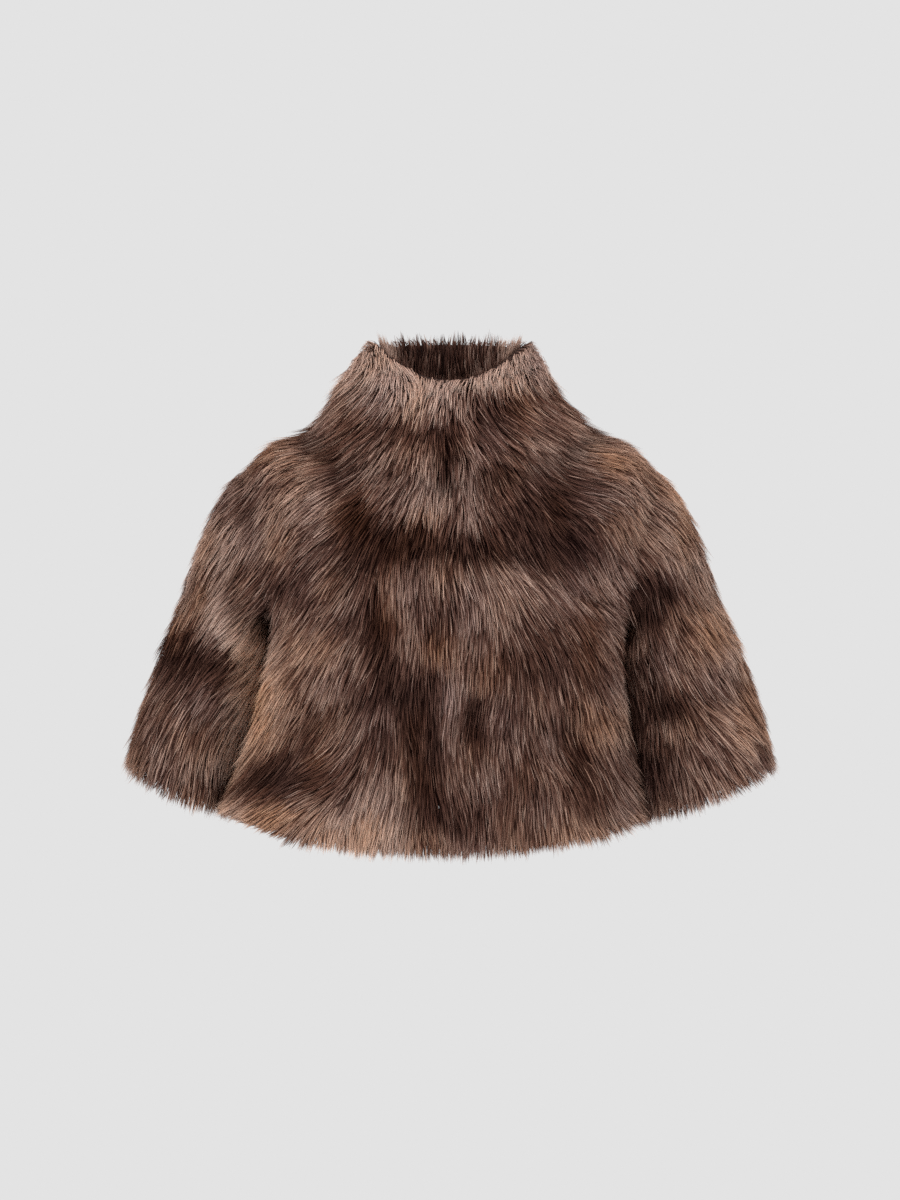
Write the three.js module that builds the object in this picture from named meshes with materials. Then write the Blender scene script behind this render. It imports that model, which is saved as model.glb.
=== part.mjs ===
// A fur bolero, fastened down the centre front, in the hollow shape it takes when it is worn.
//
// Six cut pieces: two fronts, a back, two wide elbow-length sleeves and a funnel collar. Each is one
// wall. Its inside is the skin side of the pelts, worked out from sections of a general figure, and
// its outside is where the tips of the fur reach, with the rows of pelts, the valleys between them,
// the swells of the fur and its coarse locks.
//
// Millimetres, +Z up, the front faces -Y, the wearer's left is +X. The origin is the middle of the
// neck base, where the wearer's shoulders carry the garment.

import * as THREE from "three";

// A table's rows, each with its columns' names.
function table(columns, rows) {
  return rows.map((row) => Object.fromEntries(row.map((value, i) => [columns[i], value])));
}

// ---- sizes ----
const SEAM_GAP = 0.3; // between two sewn pieces
const FUR = 23; // how far the tips stand off the skin side
const FUR_PRESSED = 6; // where sleeve and body press together at the underarm
const FUR_BESIDE_SLEEVE = 11; // lower down, between sleeve and body
const FUR_AT_NECKLINE = 38; // the collar's long fur falls over this seam
const FUR_PAST_EDGE = 14; // the fur hangs this far below the hem and the cuffs
const COLLAR_FUR_ABOVE = 11; // above the collar's rim
const LOCK_RELIEF = 3; // height of the coarse locks
const HEM_POINTS = 5; // how unevenly the fur ends along hem and cuffs

// ---- the body, in sections from the neckline down to the hem ----
// half: half width. front, back: depths from the side line. zFront, zSide, zBack: heights.
// shift: sideways swing of the section. recess: hollow at the side where the arm hangs.
// power: 2 is an ellipse, more is squarer.
const RING = ["name", "half", "front", "back", "zFront", "zSide", "zBack", "shift"];
const BODY = table([...RING, "recess", "power"], [
  ["neckline",  105,  88,  72,  -30,   -2,    6,   0,  0,  2.1],
  ["yoke",      148, 108,  92,  -62,  -20,  -22,   0,  0,  2.2],
  ["shoulder",  188, 123, 104,  -98,  -42,  -62,   0,  0,  2.3],
  ["chest",     194, 130, 110, -132,  -92, -108,   0,  0,  2.4],
  ["bust",      188, 134, 112, -170, -146, -154,  -1,  6,  2.4],
  ["underarm",  181, 136, 112, -212, -200, -203,  -3, 19,  2.4],
  ["ribs",      182, 138, 112, -262, -246, -250,  -5, 27,  2.4],
  ["waist",     188, 141, 114, -316, -296, -302,  -8, 22,  2.4],
  ["low_waist", 195, 145, 118, -363, -344, -352, -11, 15, 2.35],
  ["hem",       203, 150, 122, -411, -392, -400, -14,  9,  2.3],
]);
const SHOULDER = 2; // row of BODY at the top of the armhole
const UNDERARM = 5; // row of BODY at its foot
const HEM = BODY.length - 1;
const RECESS_BACK = 0.12; // the hollow lies this far behind the side, as a cosine
const RECESS_WIDTH = 0.5;

// Soft flutes that the hem falls into, by angle from the centre front towards the wearer's left.
const FLUTES = table(["angle", "width", "depth"], [
  [-50, 16,   0.06],
  [-24,  9, -0.018],
  [ 20, 10,  -0.02],
  [ 46, 13,  0.025],
  [140, 13,   0.03],
  [163,  9,  -0.02],
  [186, 12,   0.03],
  [216, 11, -0.022],
  [236, 10,  0.018],
]);
const FLUTES_FROM = 5;

// ---- the armhole, an oval in angle and section ----
const ARMHOLE_FRONT = rad(30);
const ARMHOLE_BACK = rad(33);

// ---- the collar, from the neckline up to its rim ----
const COLLAR = table([...RING, "fur", "inside"], [
  ["neckline", 105, 88, 72, -30, -2,  6,  0, FUR_AT_NECKLINE,  5],
  ["stand",     91, 77, 64,   4, 37, 43, -3,              31, 11],
  ["rim",       77, 67, 58,  38, 76, 79,  0,              22, 12],
]);

// ---- the sleeves, in rings from just below the underarm to the cuff ----
// x, y, z: the ring's middle on the wearer's left. half: towards and away from the body.
// depth: front to back. tilt: the ring's slope in degrees, its outer side higher.
const SLEEVE = table(["name", "x", "y", "z", "half", "depth", "tilt"], [
  ["upper_arm",   218, 8, -188, 46, 66, 27],
  ["above_elbow", 236, 7, -250, 52, 70, 26],
  ["elbow",       254, 5, -312, 58, 75, 25],
  ["cuff",        265, 2, -373, 60, 79, 25],
]);
const SLEEVE_POWER = 2.15;
const CAP_SLOPE = rad(20); // how steeply the top of the sleeve leaves the shoulder
// The two arms hang differently: the right one is swung back, and its sleeve is flatter.
// flatter, deeper: shares of the rings' half and depth. out, back: the cuff's shift.
const ARMS = {
  left: { side: 1, out: 0, back: 0, flatter: 1, deeper: 1 },
  right: { side: -1, out: 10, back: 28, flatter: 0.86, deeper: 1.06 },
};

// ---- the outside ----
// Rows of pelts: each row's fur swells towards its foot and drops back where the next begins.
const BODY_ROWS = [0, 2.75, 6.3, HEM];
const SLEEVE_ROWS = [0, 0.9, 2.3, SLEEVE.length];
const ROW_SWELL = 5;
// The front's valleys and swells are placed on an upright plane, as they are seen from this far off,
// a little from above, with the eye aimed at this height. The back's are placed in a plain back view.
const SEEN_FROM = 3200;
const SEEN_DOWN = rad(6);
const SEEN_HEIGHT = -178.5;
// Valleys in the fur, as lines in those views.
const VALLEYS = table(["face", "x0", "z0", "x1", "z1", "width", "depth"], [
  ["front", -116,  -46,  -82, -112, 20, 12],
  ["front",  -82, -112,   20, -124, 15, 12],
  ["front",   20, -124,   95, -128, 15, 10],
  ["front",  112,  -72,  140, -118, 24, 15],
  ["front",  -84, -128,  -68, -250, 17, 10],
  ["front",  -66, -262, -140, -322, 19, 10],
  ["front",  -24, -262,  -23, -398, 15, 12],
  ["front",   20, -288,   30, -352, 13,  8],
  ["front",  118, -306,  146, -392, 16,  9],
  ["front",   -3,  -22,   -5,  -48, 10, 14],
  ["front",  226, -168,  204, -186, 22, 10],
  ["front",  214, -290,  262, -282, 20,  9],
  ["front", -228, -250, -280, -240, 28,  9],
  ["front", -214, -150, -218, -190, 16,  9],
  ["back",  -130,  -84,    0, -118, 24,  9],
  ["back",     0, -118,  132,  -98, 24,  9],
  ["back",   -64, -140,  -84, -250, 22,  8],
  ["back",    54, -136,   70, -242, 22,  8],
  ["back",     4, -276,   -6, -392, 19, 10],
  ["back",    98, -270,  122, -376, 20,  9],
  ["back",  -112, -280, -134, -382, 20,  9],
  ["back",   226, -220,  276, -232, 24,  9],
  ["back",  -230, -228, -274, -212, 24,  9],
]);
// Swells of the fur between them.
const SWELLS = table(["face", "x", "z", "width", "height"], [
  ["front",  -30,  -70, 48, 5],
  ["front",   52,  -80, 44, 4],
  ["front", -160, -150, 52, 4],
  ["front", -180, -285, 46, 7],
  ["front",  110, -190, 56, 6],
  ["front",  -52, -180, 34, 5],
  ["front",  -82, -350, 36, 6],
  ["front",   78, -330, 40, 5],
  ["front",  160, -300, 30, 6],
  ["back",     0, -190, 52, 6],
  ["back",  -130, -200, 46, 5],
  ["back",   134, -180, 46, 5],
  ["back",   -62, -330, 40, 6],
  ["back",    60, -330, 38, 6],
]);

// ---- how finely the walls are divided; the outside has twice as many of each as the inside ----
const YOKE_STEPS = 8;
const ARMHOLE_STEPS = 12;
const BELOW_STEPS = 12;
const FRONT_COLUMNS = 16;
const BACK_COLUMNS = 32;
const CROWDING = 1.9;
const CAP_STEPS = 6;
const ARM_STEPS = 12;
const COLLAR_COLUMNS = 64;
const COLLAR_STEPS = 8;

// ---- small mathematics ----
function rad(degrees) {
  return (degrees * Math.PI) / 180;
}

function vec(x, y, z) {
  return new THREE.Vector3(x, y, z);
}

function clamp(x, low, high) {
  return Math.min(high, Math.max(low, x));
}

function smooth(x) {
  const t = clamp(x, 0, 1);
  return t * t * (3 - 2 * t);
}

function bell(x, width) {
  return Math.exp(-((x / width) ** 2));
}

function signedPower(x, power) {
  return Math.sign(x) * Math.abs(x) ** power;
}

// A table's column at a place between its rows, on a smooth curve through them.
function at(table, place, column) {
  const p = clamp(place, 0, table.length - 1);
  const i = Math.min(Math.floor(p), table.length - 2);
  const t = p - i;
  const value = (k) => table[clamp(k, 0, table.length - 1)][column];
  const [a, b, c, d] = [value(i - 1), value(i), value(i + 1), value(i + 2)];
  const bend = 2 * b - 2 * c + (c - a) / 2 + (d - b) / 2;
  return b + t * ((c - a) / 2 + t * (c - b - (c - a) / 2 - bend + t * bend));
}

// A repeatable uneven number from -1 to 1.
function uneven(i, j) {
  const s = Math.sin(i * 12.9898 + j * 78.233) * 43758.5453;
  return 2 * (s - Math.floor(s)) - 1;
}

// The unit normal of a surface f(a, b), by differences.
function normalOf(f, a, b) {
  const h = 0.01;
  const da = f(a + h, b).sub(f(a - h, b));
  const db = f(a, b + h).sub(f(a, b - h));
  return da.cross(db).normalize();
}

function mixed(a, b, share) {
  return a.clone().lerp(b, share).normalize();
}

// ---- the skin side of the body: angle from the centre front, and place down BODY ----
function fluteAt(angle, v) {
  const grown = smooth((v - FLUTES_FROM) / (HEM - FLUTES_FROM));
  return FLUTES.reduce((sum, f) => {
    const away = Math.atan2(Math.sin(angle - rad(f.angle)), Math.cos(angle - rad(f.angle)));
    return sum + f.depth * grown * bell(away, rad(f.width));
  }, 1);
}

function ringPoint(table, angle, v, half, power) {
  const s = Math.sin(angle);
  const c = Math.cos(angle);
  const depth = at(table, v, c > 0 ? "front" : "back");
  const height = at(table, v, "zSide") * s * s + at(table, v, c > 0 ? "zFront" : "zBack") * c * c;
  return vec(half * signedPower(s, 2 / power), -depth * signedPower(c, 2 / power), height);
}

function bodySkin(angle, v) {
  const hollow = at(BODY, v, "recess") * bell(Math.cos(angle) + RECESS_BACK, RECESS_WIDTH);
  const p = ringPoint(BODY, angle, v, at(BODY, v, "half") - hollow, at(BODY, v, "power"));
  const flute = fluteAt(angle, v);
  return vec(p.x * flute + at(BODY, v, "shift"), p.y * flute, p.z);
}

function collarSkin(angle, c) {
  const p = ringPoint(COLLAR, angle, c, at(COLLAR, c, "half"), 2.1);
  return vec(p.x + at(COLLAR, c, "shift"), p.y, p.z);
}

const bodyOwnNormal = (angle, v) => normalOf(bodySkin, angle, v).negate();
const collarNormal = (angle, c) => normalOf(collarSkin, angle, clamp(c, 0.02, 1.98));

function necklineNormal(angle) {
  return mixed(collarNormal(angle, 0), bodyOwnNormal(angle, 0.02), 0.42);
}

// ---- the skin side of a sleeve: angle round it from its outer side to the front, and place ----
// Places 0 to 1 are the cap, from the armhole to the first ring of SLEEVE.
function armholeEdge(arm, round) {
  const open = Math.sin(round) > 0 ? ARMHOLE_FRONT : ARMHOLE_BACK;
  const middle = (SHOULDER + UNDERARM) / 2;
  const reach = (UNDERARM - SHOULDER) / 2;
  return {
    angle: arm.side * (Math.PI / 2 - open * Math.sin(round)),
    v: middle - reach * Math.cos(round),
  };
}

function sleeveRing(arm, round, place) {
  const lowered = place / (SLEEVE.length - 1);
  const tilt = rad(at(SLEEVE, place, "tilt"));
  const half = at(SLEEVE, place, "half") * (1 + (arm.flatter - 1) * smooth(lowered * 1.5));
  const depth = at(SLEEVE, place, "depth") * (1 + (arm.deeper - 1) * smooth(lowered * 1.5));
  const out = half * signedPower(Math.cos(round), 2 / SLEEVE_POWER);
  const x = at(SLEEVE, place, "x") + arm.out * lowered + out * Math.cos(tilt);
  const forward = depth * signedPower(Math.sin(round), 2 / SLEEVE_POWER);
  const y = at(SLEEVE, place, "y") + arm.back * lowered - forward;
  return vec(arm.side * x, y, at(SLEEVE, place, "z") + out * Math.sin(tilt));
}

// The cap leaves the armhole square to the shoulder at the top, and runs into the first ring.
function sleeveCap(arm, round, place) {
  const edge = armholeEdge(arm, round);
  const from = bodySkin(edge.angle, edge.v);
  const to = sleeveRing(arm, round, 0);
  const chord = to.clone().sub(from);
  const outward = vec(arm.side * Math.cos(CAP_SLOPE), 0, -Math.sin(CAP_SLOPE)).multiplyScalar(chord.length());
  const start = chord.clone().lerp(outward, 0.75 * Math.max(0, Math.cos(round)));
  const end = sleeveRing(arm, round, 0.3).sub(to).setLength(chord.length());
  const t = Math.max(place, 0);
  return from
    .multiplyScalar((1 + 2 * t) * (1 - t) ** 2)
    .addScaledVector(start, t * (1 - t) ** 2)
    .addScaledVector(to, t * t * (3 - 2 * t))
    .addScaledVector(end, t * t * (t - 1));
}

function sleeveSkin(arm, round, place) {
  return place < 1 ? sleeveCap(arm, round, place) : sleeveRing(arm, round, place - 1);
}

function sleeveOwnNormal(arm, round, place) {
  const normal = normalOf((a, b) => sleeveSkin(arm, a, b), round, Math.max(place, 0.02));
  return normal.multiplyScalar(arm.side);
}

// Where two pieces are sewn, both walls lean the same way.
function armholeNormal(arm, round) {
  const edge = armholeEdge(arm, round);
  return mixed(bodyOwnNormal(edge.angle, edge.v), sleeveOwnNormal(arm, round, 0.15), 0.5);
}

// Where a place on the body lies by the armhole: share is 0 on its edge, 1 away from it.
function nearArmhole(angle, v) {
  const arm = Math.sin(angle) > 0 ? ARMS.left : ARMS.right;
  const away = Math.PI / 2 - Math.abs(Math.atan2(Math.sin(angle), Math.cos(angle)));
  const across = away / (away > 0 ? ARMHOLE_FRONT : ARMHOLE_BACK);
  const along = (v - (SHOULDER + UNDERARM) / 2) / ((UNDERARM - SHOULDER) / 2);
  return { arm, round: Math.atan2(across, -along), share: smooth((Math.hypot(across, along) - 1) / 0.5) };
}

function bodyNormal(angle, v) {
  const own = bodyOwnNormal(angle, clamp(v, 0.02, HEM - 0.02));
  if (v < 1.3) return mixed(necklineNormal(angle), own, smooth(v / 1.3));
  const near = nearArmhole(angle, v);
  return near.share === 1 ? own : mixed(armholeNormal(near.arm, near.round), own, near.share);
}

function sleeveNormal(arm, round, place) {
  const own = sleeveOwnNormal(arm, round, clamp(place, 0.15, SLEEVE.length - 0.02));
  if (place > 0.8) return own;
  return mixed(armholeNormal(arm, round), own, smooth(place / 0.8));
}

// ---- the fur over the skin ----
function rowSwell(rows, place) {
  const k = rows.findIndex((end, i) => i > 0 && place <= end);
  const down = (place - rows[k - 1]) / (rows[k] - rows[k - 1]);
  return ROW_SWELL * (down ** 1.4 - 0.45) * smooth((1.04 - down) / 0.1);
}

function fromLine(x, z, line) {
  const dx = line.x1 - line.x0;
  const dz = line.z1 - line.z0;
  const t = clamp(((x - line.x0) * dx + (z - line.z0) * dz) / (dx * dx + dz * dz), 0, 1);
  return Math.hypot(x - line.x0 - t * dx, z - line.z0 - t * dz);
}

// Where a point lies in the view that its side's valleys and swells are placed in.
function seen(p) {
  if (p.y >= 0) return { x: p.x, z: p.z };
  const up = p.z - SEEN_HEIGHT;
  const nearer = SEEN_FROM / (SEEN_FROM + p.y * Math.cos(SEEN_DOWN) - up * Math.sin(SEEN_DOWN));
  const z = (p.y * Math.sin(SEEN_DOWN) + up * Math.cos(SEEN_DOWN)) * nearer + SEEN_HEIGHT;
  return { x: p.x * nearer, z };
}

function reliefAt(p) {
  const { x, z } = seen(p);
  const faces = (row) => (row.face === "front") === p.y < 0;
  const fading = smooth(Math.abs(p.y) / 35);
  const lows = VALLEYS.filter(faces).map((r) => r.depth * bell(fromLine(x, z, r), r.width));
  const highs = SWELLS.filter(faces).map((r) => r.height * bell(Math.hypot(x - r.x, z - r.z), r.width));
  return fading * (highs.reduce((sum, h) => sum + h, 0) - Math.max(...lows));
}

// Coarse locks: ridges that run down the fur, each rising to its tip and dropping to the next.
function lockAt(row, column) {
  const start = column % 4 < 2 ? 0 : 2;
  const down = ((row + start) % 4) / 3;
  const ridge = column % 2 === 0 ? 1 : -0.8;
  return LOCK_RELIEF * (ridge * (0.35 + 0.65 * down) + 0.45 * uneven(row, column));
}

// The fur between a sleeve and the side of the body. free: 0 where they face each other, 1 away
// from there. lowness: 0 at the underarm, 1 near the hem.
function pressedFur(free, lowness) {
  const pressed = FUR_PRESSED + (FUR_BESIDE_SLEEVE - FUR_PRESSED) * smooth(lowness);
  return pressed + (FUR - pressed) * free;
}

// On the armhole seam, where body and sleeve have the same fur.
function armholeFur(arm, round) {
  const edge = armholeEdge(arm, round);
  const free = 1 - smooth((-Math.cos(round) - 0.3) / 0.6);
  return pressedFur(free, 0) + reliefAt(bodySkin(edge.angle, edge.v)) * free;
}

function bodyFur(angle, v) {
  const swell = rowSwell(BODY_ROWS, v) + reliefAt(bodySkin(angle, v));
  if (v < 1) return FUR_AT_NECKLINE + (FUR + swell - FUR_AT_NECKLINE) * smooth(v / 0.75);
  const beside = 1 - smooth(Math.abs(Math.cos(angle) + 0.05) / 0.34 - 0.45);
  const free = 1 - smooth((v - 3.4) / 1.2) * beside;
  const own = pressedFur(free, (v - UNDERARM) / 3) + swell * (0.2 + 0.8 * free);
  const near = nearArmhole(angle, v);
  return near.share === 1 ? own : armholeFur(near.arm, near.round) * (1 - near.share) + own * near.share;
}

function sleeveFur(arm, round, place) {
  const swell = rowSwell(SLEEVE_ROWS, place) + reliefAt(sleeveSkin(arm, round, place));
  const free = 1 - smooth((-Math.cos(round) - 0.1) / 0.62);
  const own = pressedFur(free, (place - 1) / 2) + swell * (0.2 + 0.8 * free);
  const share = smooth(place / 0.8);
  return armholeFur(arm, round) * (1 - share) + own * share;
}

// ---- walls ----
// Joins an outer and an inner grid of points into one closed wall. The outer grid has twice the
// steps of the inner one each way. With wraps, the last column meets the first.
function wall(outer, inner, wraps) {
  const points = [];
  const faces = [];
  const numbered = (rows) => rows.map((row) => row.map((p) => points.push(p) - 1));
  const [far, near] = [numbered(outer), numbered(inner)];
  const pick = (rows) => (i, j) => rows[i][wraps ? j % rows[i].length : j];
  const [o, n] = [pick(far), pick(near)];
  const rows = inner.length - 1;
  const columns = wraps ? inner[0].length : inner[0].length - 1;
  const quad = (a, b, c, d) => faces.push([a, b, c], [a, c, d]);
  const edge = (a, b, p, q, r) => faces.push([a, p, q], [a, q, b], [b, q, r]);
  for (let i = 0; i < 2 * rows; i++) {
    for (let j = 0; j < 2 * columns; j++) quad(o(i, j), o(i + 1, j), o(i + 1, j + 1), o(i, j + 1));
  }
  for (let i = 0; i < rows; i++) {
    for (let j = 0; j < columns; j++) quad(n(i, j), n(i, j + 1), n(i + 1, j + 1), n(i + 1, j));
  }
  for (let j = 0; j < columns; j++) {
    edge(n(0, j), n(0, j + 1), o(0, 2 * j), o(0, 2 * j + 1), o(0, 2 * j + 2));
    edge(n(rows, j + 1), n(rows, j), o(2 * rows, 2 * j + 2), o(2 * rows, 2 * j + 1), o(2 * rows, 2 * j));
  }
  for (let i = 0; i < rows && !wraps; i++) {
    const end = 2 * columns;
    edge(n(i + 1, 0), n(i, 0), o(2 * i + 2, 0), o(2 * i + 1, 0), o(2 * i, 0));
    edge(n(i, columns), n(i + 1, columns), o(2 * i, end), o(2 * i + 1, end), o(2 * i + 2, end));
  }
  return closed(points, faces);
}

// A geometry of these points and triangles, facing out.
function closed(points, faces) {
  const volume = faces.reduce((sum, [a, b, c]) => sum + points[a].dot(points[b].clone().cross(points[c])), 0);
  const index = faces.flatMap(([a, b, c]) => (volume > 0 ? [a, b, c] : [a, c, b]));
  const geometry = new THREE.BufferGeometry();
  geometry.setAttribute("position", new THREE.Float32BufferAttribute(points.flatMap((p) => p.toArray()), 3));
  geometry.setIndex(index);
  geometry.computeVertexNormals();
  return geometry;
}

// ---- seams: each side stands half the gap away from the line it is sewn along ----
// Across a seam, from the way it runs and the way both walls lean at it.
function across(along, lean) {
  return along.cross(lean).setLength(SEAM_GAP / 2);
}

function towardsSleeve(arm, round) {
  const onEdge = (r) => {
    const edge = armholeEdge(arm, r);
    return bodySkin(edge.angle, edge.v);
  };
  const along = onEdge(round + 0.02).sub(onEdge(round - 0.02));
  return across(along, armholeNormal(arm, round)).multiplyScalar(-arm.side);
}

function towardsCollar(angle) {
  const along = collarSkin(angle + 0.02, 0).sub(collarSkin(angle - 0.02, 0));
  return across(along, necklineNormal(angle)).negate();
}

// Towards growing angles, off a seam that runs down the body or up the collar.
function towardsLeft(skin, lean, angle, place) {
  const along = skin(angle, place - 0.02).sub(skin(angle, place + 0.02));
  return across(along, lean);
}

// The armhole's angle round at its steps: near its top and foot they are wider than even ones.
function armholeStep(i) {
  const share = i / ARMHOLE_STEPS;
  return 0.6 * Math.PI * share + 0.4 * Math.acos(clamp(1 - 2 * share, -1, 1));
}

// The body's rows: place down BODY, and the armhole's angle round where the row meets it.
function bodyRows() {
  const rows = [];
  for (let i = 0; i < YOKE_STEPS; i++) rows.push({ v: (SHOULDER * i) / YOKE_STEPS, round: 0 });
  for (let i = 0; i <= ARMHOLE_STEPS; i++) {
    const round = armholeStep(i);
    rows.push({ v: armholeEdge(ARMS.left, round).v, round });
  }
  for (let i = 1; i <= BELOW_STEPS; i++) {
    rows.push({ v: UNDERARM + ((HEM - UNDERARM) * i) / BELOW_STEPS, round: Math.PI });
  }
  return rows;
}

// A body panel between two edges, each a function of the armhole's angle round. full: the angle it
// spans below the armhole. Its columns crowd together only near the armhole.
function bodyPanel(columns, full, from, to) {
  const rows = bodyRows();
  const foot = YOKE_STEPS + ARMHOLE_STEPS;
  const way = Math.sign(to(0) - from(0));
  // How a point by an edge stands off the seams it is on.
  const standOff = (row, angle, i, j) => {
    const off = i === 0 ? towardsCollar(angle).negate() : vec(0, 0, 0);
    if (j > 0 && j < columns) return off;
    const atArmhole = i >= YOKE_STEPS && i <= foot && Math.abs(Math.sin(angle)) > 0.5;
    if (atArmhole) {
      const arm = Math.sin(angle) > 0 ? ARMS.left : ARMS.right;
      off.sub(towardsSleeve(arm, Math.cos(angle) > 0 ? row.round : -row.round));
    }
    if (atArmhole && i > YOKE_STEPS && i < foot) return off;
    const place = clamp(row.v, 0.02, HEM - 0.02);
    const left = towardsLeft(bodySkin, bodyNormal(angle, place), angle, place);
    return off.addScaledVector(left, j === 0 ? way : -way);
  };
  const grid = (every, make) =>
    rows
      .filter((_, i) => i % every === 0)
      .map((row, i) =>
        Array.from({ length: columns / every + 1 }, (_, j) => {
          const share = (j * every) / columns;
          const atStart = (from(row.round) - full[0]) * (1 - share) ** CROWDING;
          const atEnd = (to(row.round) - full[1]) * share ** CROWDING;
          const angle = full[0] + (full[1] - full[0]) * share + atStart + atEnd;
          return make(row.v, angle, i, j).add(standOff(row, angle, i * every, j * every));
        }),
      );
  const outer = grid(1, (v, angle, i, j) => {
    const inside = i > 0 && j > 0 && j < columns && i < rows.length - 1;
    const fur = bodyFur(angle, v) + (inside ? lockAt(i, j) * lockShare(angle, v) : 0);
    const tip = bodySkin(angle, v).addScaledVector(bodyNormal(angle, v), fur);
    tip.z -= smooth((v - HEM + 1.4) / 1.4) * FUR_PAST_EDGE;
    tip.z -= i === rows.length - 1 ? HEM_POINTS * uneven(j, 3) : 0;
    return tip;
  });
  return wall(outer, grid(2, (v, angle) => bodySkin(angle, v)), false);
}

// The locks lie flat where the arm presses on the side, and are short on the armhole's level.
function lockShare(angle, v) {
  const beside = bell(Math.cos(angle), 0.4) * smooth((v - 3.4) / 1.2);
  const level = Math.max(bell(v - SHOULDER, 0.35), bell(v - UNDERARM, 0.5));
  return (1 - beside) * (1 - level);
}

function frontPanel(arm) {
  return bodyPanel(
    FRONT_COLUMNS,
    [0, (arm.side * Math.PI) / 2],
    () => 0,
    (round) => armholeEdge(arm, round).angle,
  );
}

function backPanel() {
  return bodyPanel(
    BACK_COLUMNS,
    [Math.PI / 2, 1.5 * Math.PI],
    (round) => armholeEdge(ARMS.left, -round).angle,
    (round) => 2 * Math.PI + armholeEdge(ARMS.right, -round).angle,
  );
}

function sleeve(arm) {
  const last = SLEEVE.length;
  const places = [];
  for (let i = 0; i < CAP_STEPS; i++) places.push(i / CAP_STEPS);
  for (let i = 0; i <= ARM_STEPS; i++) places.push(1 + ((last - 1) * i) / ARM_STEPS);
  const roundAt = (j) => (j <= ARMHOLE_STEPS ? armholeStep(j) : -armholeStep(2 * ARMHOLE_STEPS - j));
  const grid = (every, make) =>
    places
      .filter((_, i) => i % every === 0)
      .map((place, i) =>
        Array.from({ length: (2 * ARMHOLE_STEPS) / every }, (_, j) => {
          const round = roundAt(j * every);
          const point = make(place, round, i, j);
          return i === 0 ? point.add(towardsSleeve(arm, round)) : point;
        }),
      );
  const outer = grid(1, (place, round, i, j) => {
    const free = 1 - smooth((-Math.cos(round) - 0.1) / 0.6);
    const lock = i > 0 && i < places.length - 1 ? lockAt(i, j + 1) * free : 0;
    const fur = sleeveFur(arm, round, place) + lock;
    const tip = sleeveSkin(arm, round, place).addScaledVector(sleeveNormal(arm, round, place), fur);
    const hang = smooth((place - last + 0.9) / 0.9) * FUR_PAST_EDGE * (1 - 0.45 * Math.cos(round));
    const point = i === places.length - 1 ? HEM_POINTS * uneven(j, 7) : 0;
    return tip.addScaledVector(vec(arm.side * 0.17, 0, -0.985), hang + point);
  });
  return wall(outer, grid(2, (place, round) => sleeveSkin(arm, round, place)), true);
}

function collar() {
  const top = COLLAR.length - 1;
  const lean = (angle, c) => {
    const own = collarNormal(angle, c);
    return c < 1 ? mixed(necklineNormal(angle), own, smooth(c)) : own;
  };
  const standOff = (angle, c, i, j) => {
    const off = i === 0 ? towardsCollar(angle) : vec(0, 0, 0);
    if (j > 0 && j < COLLAR_COLUMNS) return off;
    const place = clamp(c, 0.02, top - 0.02);
    const left = towardsLeft(collarSkin, lean(angle, place), angle, place);
    return off.addScaledVector(left, j === 0 ? -1 : 1);
  };
  const grid = (every, make) =>
    Array.from({ length: COLLAR_STEPS / every + 1 }, (_, i) =>
      Array.from({ length: COLLAR_COLUMNS / every + 1 }, (_, j) => {
        const c = (top * i * every) / COLLAR_STEPS;
        const angle = (2 * Math.PI * j * every) / COLLAR_COLUMNS;
        return make(c, angle, i, j).add(standOff(angle, c, i * every, j * every));
      }),
    );
  const inner = grid(2, (c, angle) => {
    const tip = collarSkin(angle, c).addScaledVector(lean(angle, c), -at(COLLAR, c, "inside"));
    tip.z += COLLAR_FUR_ABOVE * 0.5 * smooth((c - top + 0.6) / 0.6);
    return tip;
  });
  const outer = grid(1, (c, angle, i, j) => {
    const skin = collarSkin(angle, c);
    const rounded = smooth((c - top + 0.45) / 0.45);
    const inside = j > 0 && j < COLLAR_COLUMNS && i > 0;
    const relief = i > 0 ? reliefAt(skin) : 0;
    const fur = at(COLLAR, c, "fur") * (1 - 0.45 * rounded) + relief + (inside ? lockAt(100 - i, j) : 0);
    const tip = skin.addScaledVector(lean(angle, c), fur);
    tip.z += rounded * COLLAR_FUR_ABOVE + (i === COLLAR_STEPS ? 0.5 * HEM_POINTS * uneven(j, 5) : 0);
    return tip;
  });
  return wall(outer, inner, false);
}

// ---- the garment ----
function fur(name, colour) {
  return new THREE.MeshStandardMaterial({ name, color: colour, roughness: 0.85, metalness: 0 });
}

function piece(name, geometry, material) {
  const mesh = new THREE.Mesh(geometry, material);
  mesh.name = name;
  return mesh;
}

const bolero = new THREE.Group();
bolero.name = "fur_bolero";
bolero.add(
  piece("front_left", frontPanel(ARMS.left), fur("fur_front", 0x6a5048)),
  piece("front_right", frontPanel(ARMS.right), fur("fur_front", 0x6a5048)),
  piece("back", backPanel(), fur("fur_back", 0x5e463e)),
  piece("sleeve_left", sleeve(ARMS.left), fur("fur_sleeve", 0x755a50)),
  piece("sleeve_right", sleeve(ARMS.right), fur("fur_sleeve", 0x755a50)),
  piece("collar", collar(), fur("fur_collar", 0x876e63)),
);

export default bolero;
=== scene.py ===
"""A fur bolero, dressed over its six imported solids.

Each solid is replaced by a hide: a thin wall with the skin side inside and dense underfur outside.
On it lies the fur, combed in locks of two flat hairs each. Sizes are in millimetres up to the
meshes, which are in metres. +Z is up, the front faces -Y, and +X is the wearer's left.
"""

import math

import bpy
import numpy as np
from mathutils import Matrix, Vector
from mathutils.kdtree import KDTree


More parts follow.
